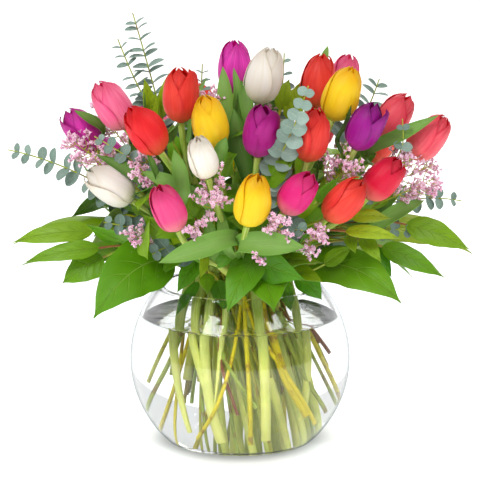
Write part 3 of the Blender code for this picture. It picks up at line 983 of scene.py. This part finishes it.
slot_of = {part["node"]: part["material_slot"] for part in frame["record"]["subparts"]}

tulip_lines = {}
for name, (foot, tip) in bloom_at.items():
    node, tint = "bloom_" + name, BLOOM_TINTS.get(name, 0.5)
    tulip_head(f"tulip_{name}", foot, tip, slot_of[node], tint, LOOSENED.get(name), [node])
    tulip_lines[name] = through(stem_lines[name][1:], 80)
    tulip_stem(f"tulip_stem_{name}", tulip_lines[name], chance.random(), ["stem_" + name])
print(len(tulip_lines), "tulips")

# %% [markdown]
# ## Tulips at the back
# The front flowers hide the back of the dome, but a bouquet in the middle of a table is seen from all
# sides. So the dome is closed with more flowers, on stems that take free places in the bundle.

# %% More flowers
BACK_TULIPS = (
    # name, colour, middle of the head in mm, lean to the right and to the back in degrees
    ("white_back", "white_petal", (34, 84, 338), 6, 16),
    ("red_back", "red_petal", (-42, 76, 334), -8, 16),
    ("magenta_back", "magenta_petal", (-98, 60, 316), -22, 16),
    ("yellow_back", "yellow_petal", (-8, 130, 318), 0, 28),
    ("coral_back", "coral_petal", (86, 112, 312), 18, 24),
    ("pink_low_back", "pink_petal", (-84, 118, 300), -18, 28),
    ("red_far_back", "red_petal", (146, 66, 300), 32, 16),
    ("yellow_low_back", "yellow_petal", (44, 160, 280), 10, 40),
    ("white_low_back", "white_petal", (-44, 160, 278), -10, 40),
    ("crimson_low_back", "coral_petal", (122, 118, 276), 34, 32),
    ("magenta_low_back", "magenta_petal", (-136, 98, 278), -38, 28),
)
HEAD_LENGTH = 53 * MM

for name, slot, middle, right, back in BACK_TULIPS:
    middle = np.array(middle) * MM
    axis = unit(np.array([math.tan(math.radians(right)), math.tan(math.radians(back)), 1.0]))
    foot, tip = middle - axis * HEAD_LENGTH / 2, middle + axis * HEAD_LENGTH / 2
    tulip_head(f"tulip_{name}", foot, tip, slot, chance.random())
    line = route(foot - axis * 0.5 * MM, axis, STEM_R, cut=chance.uniform(0.2, 0.7), count=80)
    tulip_lines[name] = line
    tulip_stem(f"tulip_stem_{name}", line, chance.random())
print(len(BACK_TULIPS), "tulips at the back")

# %% [markdown]
# ## Salal leaves
# Salal, or lemon leaf, makes the collar: broad leathery leaves with a drawn-out tip, a sunken midrib
# and pale undersides. The frame's leaves give length, width and pose. The blade here adds the round
# foot, the cupping between the side veins, the wavy margin and the drip tip.

# %% Leaf blade
SALAL_HEIGHTS = (0.0, 0.05, 0.14, 0.26, 0.40, 0.55, 0.70, 0.82, 0.90, 0.95, 1.0)
SALAL_WIDTHS = (0.12, 0.55, 0.86, 1.0, 0.98, 0.86, 0.63, 0.38, 0.18, 0.07, 0.02)


SALAL_THICKNESS = 0.45 * MM


def salal_blade(growth, path, side, half_width, tint):
    """A broad pointed leaf along path. side is the direction across it at its foot."""
    path = through(path, 25)
    t = np.linspace(0, 1, 25)[:, None]
    u = np.linspace(-1, 1, 13)[None, :]
    reach = half_width * np.interp(t[:, 0], SALAL_HEIGHTS, SALAL_WIDTHS)
    reach = reach * (1 + 0.022 * np.sin(23 * t[:, 0] + 7 * tint))
    quilt = 0.022 * np.sin(2 * np.pi * (6 * t - 1.5 * np.abs(u))) * np.sin(np.pi * np.abs(u))
    wave = 0.09 * np.sin(9 * t + 9 * tint) * u * np.abs(u)
    lift = 0.22 * np.abs(u) - 0.20 * u**2 + quilt + wave
    growth.leaf(path, side, reach, lift, tint, SALAL_THICKNESS, (1, 2))


def widest(rings):
    """(half width, direction across) of the widest ring."""
    offsets = [ring - ring.mean(0) for ring in rings]
    farthest = [each[np.linalg.norm(each, axis=1).argmax()] for each in offsets]
    across = max(farthest, key=np.linalg.norm)
    return np.linalg.norm(across), unit(across)


TWIG_RINGS = 8  # how many rings of a sprig's solid are bare twig
COLLAR_TINTS = {
    "front": 0.15, "front_left": 0.1, "front_right": 0.2, "right": 0.3, "far_right": 1.0, "far_left": 0.55,
}  # fmt: skip
for node, rings in sprig_rings.items():
    if node.startswith("salal_leaf"):
        short = node.removeprefix("salal_leaf_")
        line = centreline(rings)
        half_width, side = widest(rings)
        if np.cross(unit(line[-1] - line[TWIG_RINGS]), side)[2] < 0:
            side = -side
        growth = Growth()
        growth.tube(through(line[1 : TWIG_RINGS + 2], 30), 1.5 * MM, 8, chance.random() * 0.6, 0)
        salal_blade(growth, line[TWIG_RINGS:], side, half_width, COLLAR_TINTS.get(short, chance.random()))
        growth.piece("leaf_" + short, [twig, salal_top, salal_under], [node])
print("collar leaves of the frame")


# %% [markdown]
# ## Leafy branches
# A cut salal branch carries several leaves, left and right in turn. Branches all round the bundle fill
# the dome under the flowers. Each leaf turns its face outwards, as leaves do for light.

# %% A salal branch
STALK = 5 * MM


def side_leaf(growth, start, heading, facing, length, half_width, tint):
    """A leaf on a short stalk that sets off along heading and then hangs its tip a little."""
    base = start + heading * STALK
    growth.tube(np.array([start, (start + base) / 2, base]), 0.9 * MM, 6, 0.4, 0)
    t = np.linspace(0, 1, 5)[:, None]
    points = base + heading * length * t + facing * length * (0.12 * t - 0.30 * t * t)
    points = points - np.array([0, 0, length]) * 0.14 * t * t
    salal_blade(growth, points, np.cross(facing, heading), half_width, tint)


def salal_branch(name, end, heading, leaves, size, tint):
    """A branch from the water to end with leaves along its last stretch."""
    cut = chance.choice((0.4, 0.7, 0.85, 0.95)) - chance.uniform(0, 0.15)
    path = route(end, heading, 1.5 * MM, cut=cut, count=36)
    growth = Growth()
    growth.tube(path, np.linspace(1.6, 0.9, len(path)) * MM, 8, tint, 0)
    along = unit(np.gradient(path, axis=0))
    for k in range(leaves):
        last = k == leaves - 1
        i = len(path) - 1 if last else int(len(path) * (0.72 + 0.25 * k / leaves))
        facing = unit(outwards(path[i]) + jitter(0.25))
        ahead = unit(along[i] - facing * np.dot(along[i], facing) * 0.8)
        swing = 0.0 if last else (1 if k % 2 else -1) * chance.uniform(0.7, 1.3)
        out = turned(ahead, facing, swing)
        facing = unit(facing - out * np.dot(facing, out))
        length = size * chance.uniform(0.8, 1.15)
        leaf_tint = within(chance.gauss(0.30, 0.25))
        side_leaf(growth, path[i], out, facing, length, length * 0.27, leaf_tint)
    growth.piece(name, [twig, salal_top, salal_under])


# %% Branches all round
BRANCH_TIERS = (
    # branches, climb above level, share of the dome's reach, leaves on each, leaf length in mm
    (12, -0.10, 0.62, 3, 62),
    (12, 0.22, 0.66, 4, 56),
    (10, 0.55, 0.66, 4, 52),
    (6, 0.95, 0.66, 4, 50),
    (1, 1.57, 0.70, 3, 46),
)
branches = 0
for tier, (count, climb, share, leaves, size) in enumerate(BRANCH_TIERS):
    for k in range(count):
        bearing = 2 * math.pi * (k + 0.5 * (tier % 2)) / count + chance.uniform(-0.12, 0.12)
        end = on_dome(bearing, climb + chance.uniform(-0.08, 0.08), share * chance.uniform(0.94, 1.06))
        salal_branch(f"salal_branch_{branches}", end, outwards(end), leaves, size * MM, chance.random())
        branches += 1
print(branches, "salal branches")

# %% [markdown]
# ## Single leaves
# Florists tuck leaves in one by one where a gap would show. A salal leaf brings its own thin twig. A
# tulip leaf clasps a tulip's stem, wraps it like a sheath, and rises as a long folded blade.

# %% Where the single leaves go
SINGLE_LEAVES = (
    # name, kind, base and tip in mm, half its width in mm, the way its face looks, tint
    ("under_left", "salal", (-136, -55, 200), (-176, -60, 175), 17, (-0.2, -0.85, 0.5), 0.25),
    ("centre_left", "salal", (16, -116, 216), (-12, -160, 168), 17, (-0.15, -0.85, 0.5), 0.1),
    ("centre_small", "salal", (-32, -100, 193), (-31, -128, 178), 7.5, (0, -0.9, 0.3), 0.3),
    ("centre_drip", "salal", (-33, -118, 215), (-38, -135, 195), 5, (0.3, -0.9, 0.3), 0.8),
    ("right_of_centre", "salal", (48, -105, 197), (79, -132, 191), 9.5, (0.2, -0.8, 0.55), 0.6),
    ("olive", "salal", (28, -118, 207), (79, -128, 209), 8.5, (0, -0.6, 0.8), 0.4),
    ("twin_one", "salal", (105, -100, 230), (110, -122, 217), 6.5, (0, -0.9, 0.3), 0.5),
    ("twin_two", "salal", (118, -95, 229), (135, -120, 208), 8, (0, -0.9, 0.3), 0.55),
    ("lemon_low", "salal", (101, -118, 238), (154, -115, 230), 7.5, (0, -0.8, 0.6), 1),
    ("lemon_high", "salal", (107, -105, 249), (145, -100, 247), 8.5, (0, -0.7, 0.7), 1),
    ("right_inner", "salal", (82, -95, 201), (109, -85, 217), 8, (0, -0.9, 0.4), 0.4),
    ("right_under", "salal", (130, -60, 211), (149, -75, 184), 9, (0.2, -0.9, 0.3), 0),
    ("in_mouth_left", "salal", (-41, -55, 175), (-63, -55, 140), 6, (-0.5, -0.85, 0.1), 0),
    ("in_mouth_middle", "salal", (-23, -45, 175), (-14, -52, 144), 9, (0, -1, 0.1), 0.05),
    ("in_mouth_right", "salal", (58, -42, 183), (82, -45, 155), 12, (0.2, -1, 0.1), 0),
    ("in_mouth_front", "salal", (42, -52, 177), (50, -56, 145), 8, (0.1, -1, 0.1), 0.1),
    ("gap_right_one", "salal", (49, -30, 334), (62, -20, 373), 10, (0, -1, 0.2), 0.9),
    ("gap_right_two", "salal", (40, -28, 344), (49, -20, 374), 8, (-0.3, -1, 0.2), 0.8),
    ("top_left_one", "salal", (-90, 14, 331), (-97, 10, 372), 7, (0.3, -1, 0.2), 1),
    ("top_left_two", "salal", (-80, 14, 331), (-72, 10, 377), 6, (-0.3, -1, 0.2), 1),
    ("top_left_three", "salal", (-92, 8, 328), (-84, 0, 359), 7, (0, -1, 0.2), 0.9),
    ("beside_red", "salal", (74, -108, 265), (94, -112, 289), 6.5, (0, -1, 0.2), 0.1),
    ("beside_pink", "salal", (-43, -108, 249), (-59, -112, 275), 8.5, (0, -1, 0.3), 0.35),
    ("gap_left_low", "salal", (-40, -58, 202), (-62, -72, 168), 10, (-0.1, -0.95, 0.3), 0.05),
    ("gap_left_high", "salal", (-52, -72, 218), (-76, -92, 190), 10, (-0.1, -0.9, 0.4), 0.15),
    ("gap_middle", "salal", (-2, -70, 200), (6, -92, 168), 11, (0, -0.95, 0.3), 0.0),
    ("gap_right", "salal", (52, -60, 205), (66, -84, 176), 10, (0.1, -0.95, 0.3), 0.05),
    ("far_left_broad", "salal", (-146, -52, 226), (-226, -48, 214), 12, (0, -0.8, 0.6), 0.5),
    ("left_broad", "salal", (-139, -62, 211), (-212, -62, 197), 10, (-0.1, -0.85, 0.5), 0.35),
    ("far_right_broad", "salal", (164, -54, 233), (228, -46, 207), 14, (0.1, -0.85, 0.5), 0.45),
    ("right_broad", "salal", (140, -66, 213), (198, -70, 184), 12, (0.1, -0.85, 0.5), 0.2),
    ("low_left", "tulip", (-4, -140, 234), (-76, -162, 216), 11, (0, -0.93, 0.37), 0.8),
    ("low_right", "tulip", (0, -148, 231), (60, -167, 232), 12, (0, -0.93, 0.37), 0.75),
    ("left_arch", "tulip", (-84, -84, 268), (-140, -74, 306), 8.5, (0.45, -0.7, 0.6), 0.2),
    ("left_curl", "tulip", (-48, -108, 274), (-94, -108, 294), 7.5, (0.2, -0.95, 0.3), 0.8),
    ("left_tongue", "tulip", (-54, -118, 278), (-63, -116, 316), 7.5, (0.3, -0.95, 0), 0.7),
    ("left_spike", "tulip", (-79, -108, 286), (-89, -122, 319), 3.5, (0.3, -0.95, 0), 0.1),
    ("beside_yellow", "tulip", (-21, -122, 309), (-13, -124, 329), 6.5, (0, -1, 0.1), 0.4),
    ("top_one", "tulip", (-10, -52, 337), (-17, -42, 388), 8, (-0.2, -1, 0.1), 0.9),
    ("top_two", "tulip", (-3, -50, 340), (-6, -44, 387), 6, (0.5, -0.85, 0), 0.7),
    ("centre_dark", "tulip", (6, -85, 294), (-6, -78, 351), 10.5, (-0.3, -0.95, 0), 0),
    ("under_white", "tulip", (8, -55, 339), (1, -42, 375), 7, (0.2, -1, 0), 0.5),
    ("beside_magenta", "tulip", (-136, -42, 328), (-162, -50, 346), 5, (0.2, -0.9, 0.4), 0.3),
    ("behind_red", "tulip", (82, -2, 387), (88, 0, 405), 3.5, (0, -1, 0.1), 0.9),
    ("right_sword", "tulip", (122, -70, 303), (191, -82, 345), 8, (0.2, -0.9, 0.4), 0.6),
    ("dark_sword", "tulip", (94, -72, 320), (107, -88, 355), 3.5, (0.4, -0.9, 0), 0),
    ("right_pale", "tulip", (135, -62, 235), (182, -52, 257), 8, (0, -0.8, 0.6), 0.9),
    ("right_low", "tulip", (115, -62, 252), (158, -62, 273), 6, (0, -0.8, 0.5), 0.3),
    ("left_under", "tulip", (-59, -92, 222), (-89, -96, 257), 7.5, (0.3, -0.9, 0.3), 0.1),
    ("centre_pale", "tulip", (-11, -116, 219), (-19, -112, 261), 6, (-0.2, -1, 0.1), 0.95),
    ("centre_low", "tulip", (-25, -112, 218), (-34, -116, 256), 6.5, (0.2, -1, 0.1), 0.5),
)
print(len(SINGLE_LEAVES), "places for single leaves")


# %% Two ways to place a leaf
def tucked_salal(name, base, tip, half_width, facing, tint):
    """A salal leaf from base to tip on a twig of its own."""
    heading = unit(tip - base)
    path = route(base, heading, 1.2 * MM, cut=chance.uniform(0.5, 0.95), count=30)
    growth = Growth()
    growth.tube(path, 1.1 * MM, 8, chance.uniform(0.3, 0.9), 0)
    t = np.linspace(0, 1, 6)[:, None]
    points = base + (tip - base) * t + facing * np.linalg.norm(tip - base) * 0.4 * t * (1 - t)
    salal_blade(growth, points, np.cross(facing, heading), half_width, tint)
    growth.piece(f"leaf_{name}", [twig, salal_top, salal_under])


DRY_Z = 130 * MM  # tulip leaves leave their stems above the water
SHEATH = 35 * MM  # the shortest stretch from that place to where the blade starts
WRAP = 12 * MM  # how long it first follows the stem
TULIP_LEAF_THICKNESS = 0.6 * MM


def clasping_leaf(name, base, tip, half_width, facing, tint):
    """A tulip leaf that leaves the nearest tulip stem, passes base and ends at tip."""

    def detour(place):
        """How far a place on a stem lies from base, and more if it isn't well below it."""
        return np.linalg.norm(place[0] - base) + max(place[0][2] - base[2] + 30 * MM, 0) * 2

    spots = [(line, i) for line in tulip_lines.values() for i in range(20, len(line) - 2)]
    places = [(line[i], line[i + 2] - line[i]) for line, i in spots]
    dry = [place for place in places if place[0][2] > DRY_Z and np.linalg.norm(place[0] - base) > SHEATH]
    foot, ahead = min(dry, key=detour)
    middle = (base + tip) / 2 + facing * np.linalg.norm(tip - base) * 0.10
    path = through([foot, foot + unit(ahead) * WRAP, base, middle, tip], 30)
    t = np.linspace(0, 1, 30)
    leafy = 1 - np.linalg.norm(tip - base) / reached_along(path)[-1]
    rise = np.clip(t / (leafy + 0.4 * (1 - leafy)), 0, 1)
    taper = np.clip((t - leafy - 0.3 * (1 - leafy)) / (0.7 * (1 - leafy)), 0, 1)
    reach = half_width * (0.40 + 0.60 * rise**1.2) * (1 - taper**2.2)
    u = np.linspace(-1, 1, 9)[None, :]
    lift = 0.42 * u**2 * (1.3 - t[:, None]) + 0.08 * np.sin(13 * t + 6 * tint)[:, None] * u
    growth = Growth()
    growth.leaf(path, side_for(path, facing, 0.8), reach, lift, tint, TULIP_LEAF_THICKNESS)
    growth.piece(f"leaf_{name}", [tulip_leaf])


# %% Leaves in their places
for name, kind, base, tip, half_width, facing, tint in SINGLE_LEAVES:
    place = tucked_salal if kind == "salal" else clasping_leaf
    place(name, np.array(base) * MM, np.array(tip) * MM, half_width * MM, unit(np.array(facing)), tint)

# Long leaves also rise between the flowers at the sides and the back.
TUFTS = 26
for k in range(TUFTS):
    bearing, climb = GOLDEN_ANGLE * k, 0.15 + 1.1 * (k + 0.5) / TUFTS
    if math.sin(bearing) > -0.5:
        base = on_dome(bearing, climb - 0.12, 0.62)
        tip = on_dome(bearing + chance.uniform(-0.2, 0.2), climb + 0.12, chance.uniform(0.90, 1.0))
        clasping_leaf(f"tulip_{k}", base, tip, chance.uniform(8, 12) * MM, outwards(base), chance.random())
print("leaves placed one by one")

# %% [markdown]
# ## Cut stems and twigs
# A few cut stems and twigs stand loosely in the water and cross the others, as they do when a florist
# trims a bunch. The pale ones are leaf sheaths that were left on below the water.

# %% Loose stems
LOOSE_STEMS = (
    # finish, points from the cut end up into the bundle in mm, radius at the cut end and on top in mm, tint
    (twig, [(-76, -12, 66), (-52, -12, 120), (-30, -10, 168)], 1.9, 1.5, 0.3),
    (twig, [(76, -16, 92), (52, -20, 126), (24, -24, 160)], 1.8, 1.4, 1.0),
    (twig, [(72, -54, 32), (42, -70, 86), (18, -64, 122), (4, -44, 160)], 2.4, 1.8, 0.0),
    (twig, [(-2, -80, 50), (-18, -66, 102), (-16, -44, 158)], 1.5, 1.3, 0.95),
    (twig, [(15, -78, 56), (-15, -66, 102), (-26, -40, 158)], 2.1, 1.7, 0.45),
    (twig, [(-40, -66, 22), (-22, -78, 56), (-6, -64, 104), (2, -40, 158)], 2.0, 1.6, 0.0),
    (twig, [(-84, -20, 40), (-58, -30, 92), (-34, -22, 160)], 2.3, 1.9, 0.42),
    (twig, [(84, 6, 40), (62, -4, 92), (34, -2, 160)], 2.1, 1.7, 0.15),
    (twig, [(62, -58, 44), (40, -66, 84), (26, -50, 130), (18, -34, 170)], 4.4, 3.6, 0.0),
    (twig, [(80, -40, 42), (58, -54, 80), (38, -50, 124), (26, -34, 165)], 2.3, 2.0, 0.42),
    (twig, [(10, -76, 18), (9, -80, 60), (6, -70, 110), (4, -44, 160)], 2.3, 1.9, 0.12),
    (stem_green, [(-46, -60, 28), (-56, -52, 80), (-60, -44, 130), (-44, -30, 188)], 2.6, 6.2, 0.1),
    (stem_green, [(-30, -72, 70), (-44, -60, 124), (-38, -36, 188)], 3.2, 5.2, 0.3),
    (stem_green, [(-17, -70, 20), (-26, -72, 54), (-32, -62, 122), (-24, -32, 186)], 5.0, 4.6, 0.0),
    (stem_green, [(-23, -76, 57), (-18, -66, 100), (-12, -40, 168)], 0.8, 4.8, 0.15),
    (stem_green, [(24, -70, 22), (23, -76, 70), (20, -66, 122), (12, -34, 186)], 4.6, 5.2, 0.1),
    (stem_green, [(56, -54, 40), (60, -50, 90), (56, -38, 140), (46, -30, 182)], 3.8, 4.4, 0.4),
)
for k, (look, points, low, high, tint) in enumerate(LOOSE_STEMS):
    growth = Growth()
    growth.tube(through(np.array(points) * MM, 24), np.linspace(low, high, 24) * MM, 12, tint)
    growth.piece(f"loose_stem_{k}", [look])
print(len(LOOSE_STEMS), "loose stems")

# %% [markdown]
# ## Eucalyptus
# Young eucalyptus has round leaves in opposite pairs, each pair turned a quarter from the last, on a
# thin yellow-brown twig. The leaves shrink towards the tip.

# %% A sprig of round leaves
ROUND_LEAF_THICKNESS = 0.35 * MM


def round_leaf(growth, start, heading, facing, length, roundness, tint):
    """A leaf that stands out along heading and turns its face to facing. roundness is its half width."""
    t = np.linspace(0, 1, 9)
    u = np.linspace(-1, 1, 7)[None, :]
    facing = unit(facing - heading * np.dot(facing, heading) + 1e-6)
    path = start + heading * (t * length)[:, None] + facing * length * 0.04 * np.sin(np.pi * t)[:, None]
    reach = roundness * length * np.sin(np.pi * np.clip(t * 0.94 + 0.05, 0, 0.99)) ** 0.6
    lift = 0.18 * u**2 * np.ones((9, 1))
    growth.leaf(path, np.cross(facing, heading), reach, lift, tint, ROUND_LEAF_THICKNESS, (1, 1))


def eucalyptus_sprig(name, path, bare, biggest, pairs, look, turn_out, tint, stands_for=()):
    """A twig with leaf pairs after its bare share. turn_out swings their faces from its tip to look."""
    growth = Growth()
    growth.tube(path, np.linspace(1.5, 0.6, len(path)) * MM, 8, 0.4, 0)
    along = unit(np.gradient(path, axis=0))
    look = unit(np.asarray(look, float))
    roundness = 0.34 + 0.14 * turn_out
    for k in range(pairs + 1):
        share = k / pairs
        i = int((len(path) - 1) * (bare + (0.985 - bare) * share))
        ahead = along[i]
        across = unit(np.cross(look, ahead))
        for side in (1, -1):
            angle = (0.25 if k % 2 else -0.25) + chance.uniform(-0.2, 0.2)
            out = turned(across * side, ahead, angle)
            heading = unit(out + ahead * (0.06 + 0.25 * share + chance.uniform(-0.08, 0.10)))
            facing = ahead * (1 - turn_out) + look * turn_out + jitter(0.16)
            length = biggest * (1 - 0.60 * share**1.5) * chance.uniform(0.9, 1.08)
            leaf_tint = within(tint + chance.uniform(-0.3, 0.3))
            start = path[i] + out * (0.8 * MM - 0.16 * length * turn_out) + look * 1.5 * MM * turn_out
            round_leaf(growth, start, heading, facing, length, roundness, leaf_tint)
    growth.piece(name, [twig, eucalyptus_leaf], stands_for)


# %% Sprigs in their places
FRAME_SPRIGS = {
    # node: biggest leaf in mm, pairs, turn out, tint
    "eucalyptus_top_left": (27, 17, 0.27, 0.4),
    "eucalyptus_left": (24, 11, 0.5, 0.5),
    "eucalyptus_right": (23, 8, 0.6, 0.5),
}
for node, (biggest, pairs, turn_out, tint) in FRAME_SPRIGS.items():
    line = centreline(sprig_rings[node])[1:]
    path = through(line, 80)
    bare = reached_along(line[:TWIG_RINGS])[-1] / reached_along(path)[-1]
    eucalyptus_sprig(node + "_sprig", path, bare, biggest * MM, pairs, (0, -1, 0.3), turn_out, tint, [node])

EUCALYPTUS_SPRIGS = (
    # name, tip in mm, direction there, leafy share, biggest leaf in mm, pairs, look, turn out, tint
    ("second_top_left", (-124, 26, 410), (-0.35, 0.0, 1.0), 0.42, 22, 14, (0, -1, 0.3), 0.27, 0.4),
    ("behind_red", (-38, 10, 386), (0.1, 0.0, 1.0), 0.22, 19, 8, (0, -1, 0.3), 0.2, 0.3),
    ("beside_white", (44, -14, 399), (0.0, 0.0, 1.0), 0.22, 18, 5, (0, -1, 0.3), 0.4, 0.3),
    ("front_cascade", (64, -128, 378), (0.30, 0.4, 1.0), 0.50, 24, 12, (0, -1, 0.2), 1.0, 0.8),
    ("top_right", (140, 0, 372), (0.25, 0.0, 1.0), 0.24, 28, 7, (0, -1, 0.3), 0.25, 0.3),
    ("crossing_left", (-141, -78, 324), (-1.0, 0.0, 0.55), 0.24, 17, 5, (0, -1, 0.3), 0.8, 0.4),
    ("over_coral", (156, -88, 342), (-0.3, 0.0, 1.0), 0.24, 17, 4, (0, -1, 0.3), 0.8, 0.4),
    ("under_white", (-132, -92, 242), (-1.0, -0.3, 0.2), 0.36, 21, 7, (0, -1, 0.5), 0.8, 0.25),
    ("low_left", (-84, -120, 216), (-0.6, -0.8, -0.3), 0.30, 25, 4, (0, -1, 0.3), 0.9, 0.05),
    ("low_right", (58, -158, 246), (0.3, -1.0, 0.1), 0.20, 21, 3, (0, -1, 0.4), 0.9, 0.05),
    ("low_right_side", (172, -58, 226), (1.0, -0.4, -0.2), 0.32, 21, 6, (0, -1, 0.4), 0.8, 0.3),
    ("back_high", (16, 108, 372), (0.0, 0.4, 1.0), 0.30, 19, 8, (0, 1, 0.3), 0.3, 0.5),
    ("back_left", (-160, 110, 260), (-1.0, 0.7, 0.3), 0.35, 20, 8, (0, 1, 0.3), 0.7, 0.4),
    ("back_right", (160, 112, 258), (1.0, 0.7, 0.3), 0.35, 20, 8, (0, 1, 0.3), 0.7, 0.6),
)
for name, tip, heading, leafy, biggest, pairs, look, turn_out, tint in EUCALYPTUS_SPRIGS:
    path = route(np.array(tip) * MM, heading, 1.4 * MM, cut=chance.uniform(0.2, 0.7), count=80)
    eucalyptus_sprig(f"eucalyptus_{name}_sprig", path, 1 - leafy, biggest * MM, pairs, look, turn_out, tint)
print(len(FRAME_SPRIGS), "eucalyptus sprigs of the frame and", len(EUCALYPTUS_SPRIGS), "more")

# %% [markdown]
# ## Sea lavender
# Sea lavender is a haze of tiny papery flowers on wiry forked stems. Each floret is a small funnel with
# a five-pointed rim. A plume is a stem with side shoots, and each side shoot carries a comb of florets.


# %% A plume of florets
def floret(growth, start, heading, size, tint):
    """A funnel that opens into five short points."""
    side = unit(np.cross(heading, (0.31, 0.54, 0.78)))
    up = np.cross(heading, side)
    angle = np.linspace(0, 2 * np.pi, 10, endpoint=False)
    star = np.where(np.arange(10) % 2 == 0, 1.0, 0.46)
    ring = side * np.cos(angle)[:, None] + up * np.sin(angle)[:, None]
    rows = [start + ring * size * 0.10, start + heading * size * 0.55 + ring * size * 0.20]
    rows.append(start + heading * size * 0.86 + ring * (size * 0.50 * star)[:, None])
    rows.append(start + heading * size * 0.70 + ring * size * 0.10)
    marks = marked(4, 10, tint)
    marks[:, :, 0] = np.array([0.0, 0.35, 1.0, 0.2])[:, None]
    growth.grid(*closed_ends(np.array(rows), marks), np.full(10, 1))


COMB = 8  # florets on a side shoot


def plume(name, path, leafy_from, spread_out, fullness, stands_for=()):
    """A stem with side shoots of florets over its last part, more of them with its fullness."""
    growth = Growth()
    growth.tube(path, np.linspace(1.3, 0.4, len(path)) * MM, 6, 0.3, 0)
    along = unit(np.gradient(path, axis=0))
    shoots = max(int(fullness / 6), 3)
    for k in range(shoots):
        share = leafy_from + (1 - leafy_from) * (k + 0.5) / shoots
        i = int((len(path) - 1) * share)
        out = unit(scatter(1))
        out = unit(out - along[i] * np.dot(out, along[i]) * 0.6)
        outline = math.sin(math.pi * (0.18 + 0.72 * (k + 0.5) / shoots))
        reach = spread_out * chance.uniform(0.55, 1.1) * outline
        t = np.linspace(0, 1, 6)[:, None]
        shoot = path[i] + out * reach * t + along[i] * reach * 0.9 * t * t
        growth.tube(shoot, np.linspace(0.6, 0.3, 6) * MM, 5, 0.35, 0)
        for j in range(COMB):
            at = shoot[0] + (shoot[-1] - shoot[0]) * (0.40 + 0.60 * j / (COMB - 1))
            heading = unit(out * 0.5 + along[i] + scatter(0.7))
            at = at + scatter(1.6 * MM)
            size = chance.uniform(3.6, 5.4) * MM
            floret(growth, at, heading, size, chance.random())
    growth.piece(name, [twig, floret_pink], stands_for)


# %% Plumes in their places
FRAME_REACH, FRAME_FULLNESS = 24 * MM, 130

for node, rings in sprig_rings.items():
    if node.startswith("sea_lavender"):
        line = centreline(rings)[1:]
        path = through(line, 60)
        bare = reached_along(line[:TWIG_RINGS])[-1] / reached_along(path)[-1]
        plume(node + "_plume", path, bare - 0.04, FRAME_REACH, FRAME_FULLNESS, [node])

PLUMES = (
    # name, tip in mm, direction at the tip, length of the flowering part in mm, its reach in mm, fullness
    ("left_high", (-142, -30, 350), (-0.6, -0.1, 1.0), 40, 18, 60),
    ("left_low", (-104, -118, 232), (-0.7, -0.7, 0.2), 34, 15, 60),
    ("left_cluster", (-166, -50, 316), (-0.8, -0.2, 0.6), 44, 18, 110),
    ("left_cluster_low", (-134, -64, 305), (-0.8, -0.3, 0.5), 40, 15, 90),
    ("left_middle", (-96, -110, 298), (-0.4, -0.7, 0.6), 30, 13, 60),
    ("left_inner", (-98, -70, 312), (-0.4, -0.4, 1.0), 40, 18, 60),
    ("behind_yellow", (-30, -50, 366), (0.0, -0.1, 1.0), 36, 16, 60),
    ("centre", (-22, -150, 286), (0.1, -0.6, 0.9), 48, 24, 130),
    ("centre_low", (-44, -158, 250), (-0.2, -0.9, 0.3), 28, 14, 50),
    ("front_right", (40, -168, 252), (0.3, -0.9, 0.4), 30, 17, 70),
    ("front_right_low", (76, -150, 236), (0.4, -0.9, 0.3), 42, 17, 90),
    ("right_inner", (104, -104, 306), (0.4, -0.4, 0.9), 48, 25, 120),
    ("right_high", (160, -76, 308), (0.6, -0.4, 0.8), 40, 20, 90),
    ("right_far", (190, -60, 280), (0.9, -0.3, 0.5), 44, 19, 110),
    ("front_tip", (16, -166, 222), (0.0, -1.0, 0.3), 12, 7, 18),
    ("top_right", (44, -10, 362), (0.1, 0.0, 1.0), 34, 15, 50),
    ("back", (0, 110, 330), (0.0, 0.6, 1.0), 44, 22, 90),
    ("back_left", (-120, 100, 300), (-0.7, 0.6, 0.8), 44, 22, 90),
    ("back_right", (126, 96, 300), (0.7, 0.6, 0.8), 44, 22, 90),
)
for name, tip, heading, length, reach, fullness in PLUMES:
    path = route(np.array(tip) * MM, heading, 1.2 * MM, cut=chance.uniform(0.2, 0.8), count=60)
    plume(f"sea_lavender_{name}_plume", path, 1 - length * MM / reached_along(path)[-1], reach * MM, fullness)
print(len(PLUMES), "more plumes")
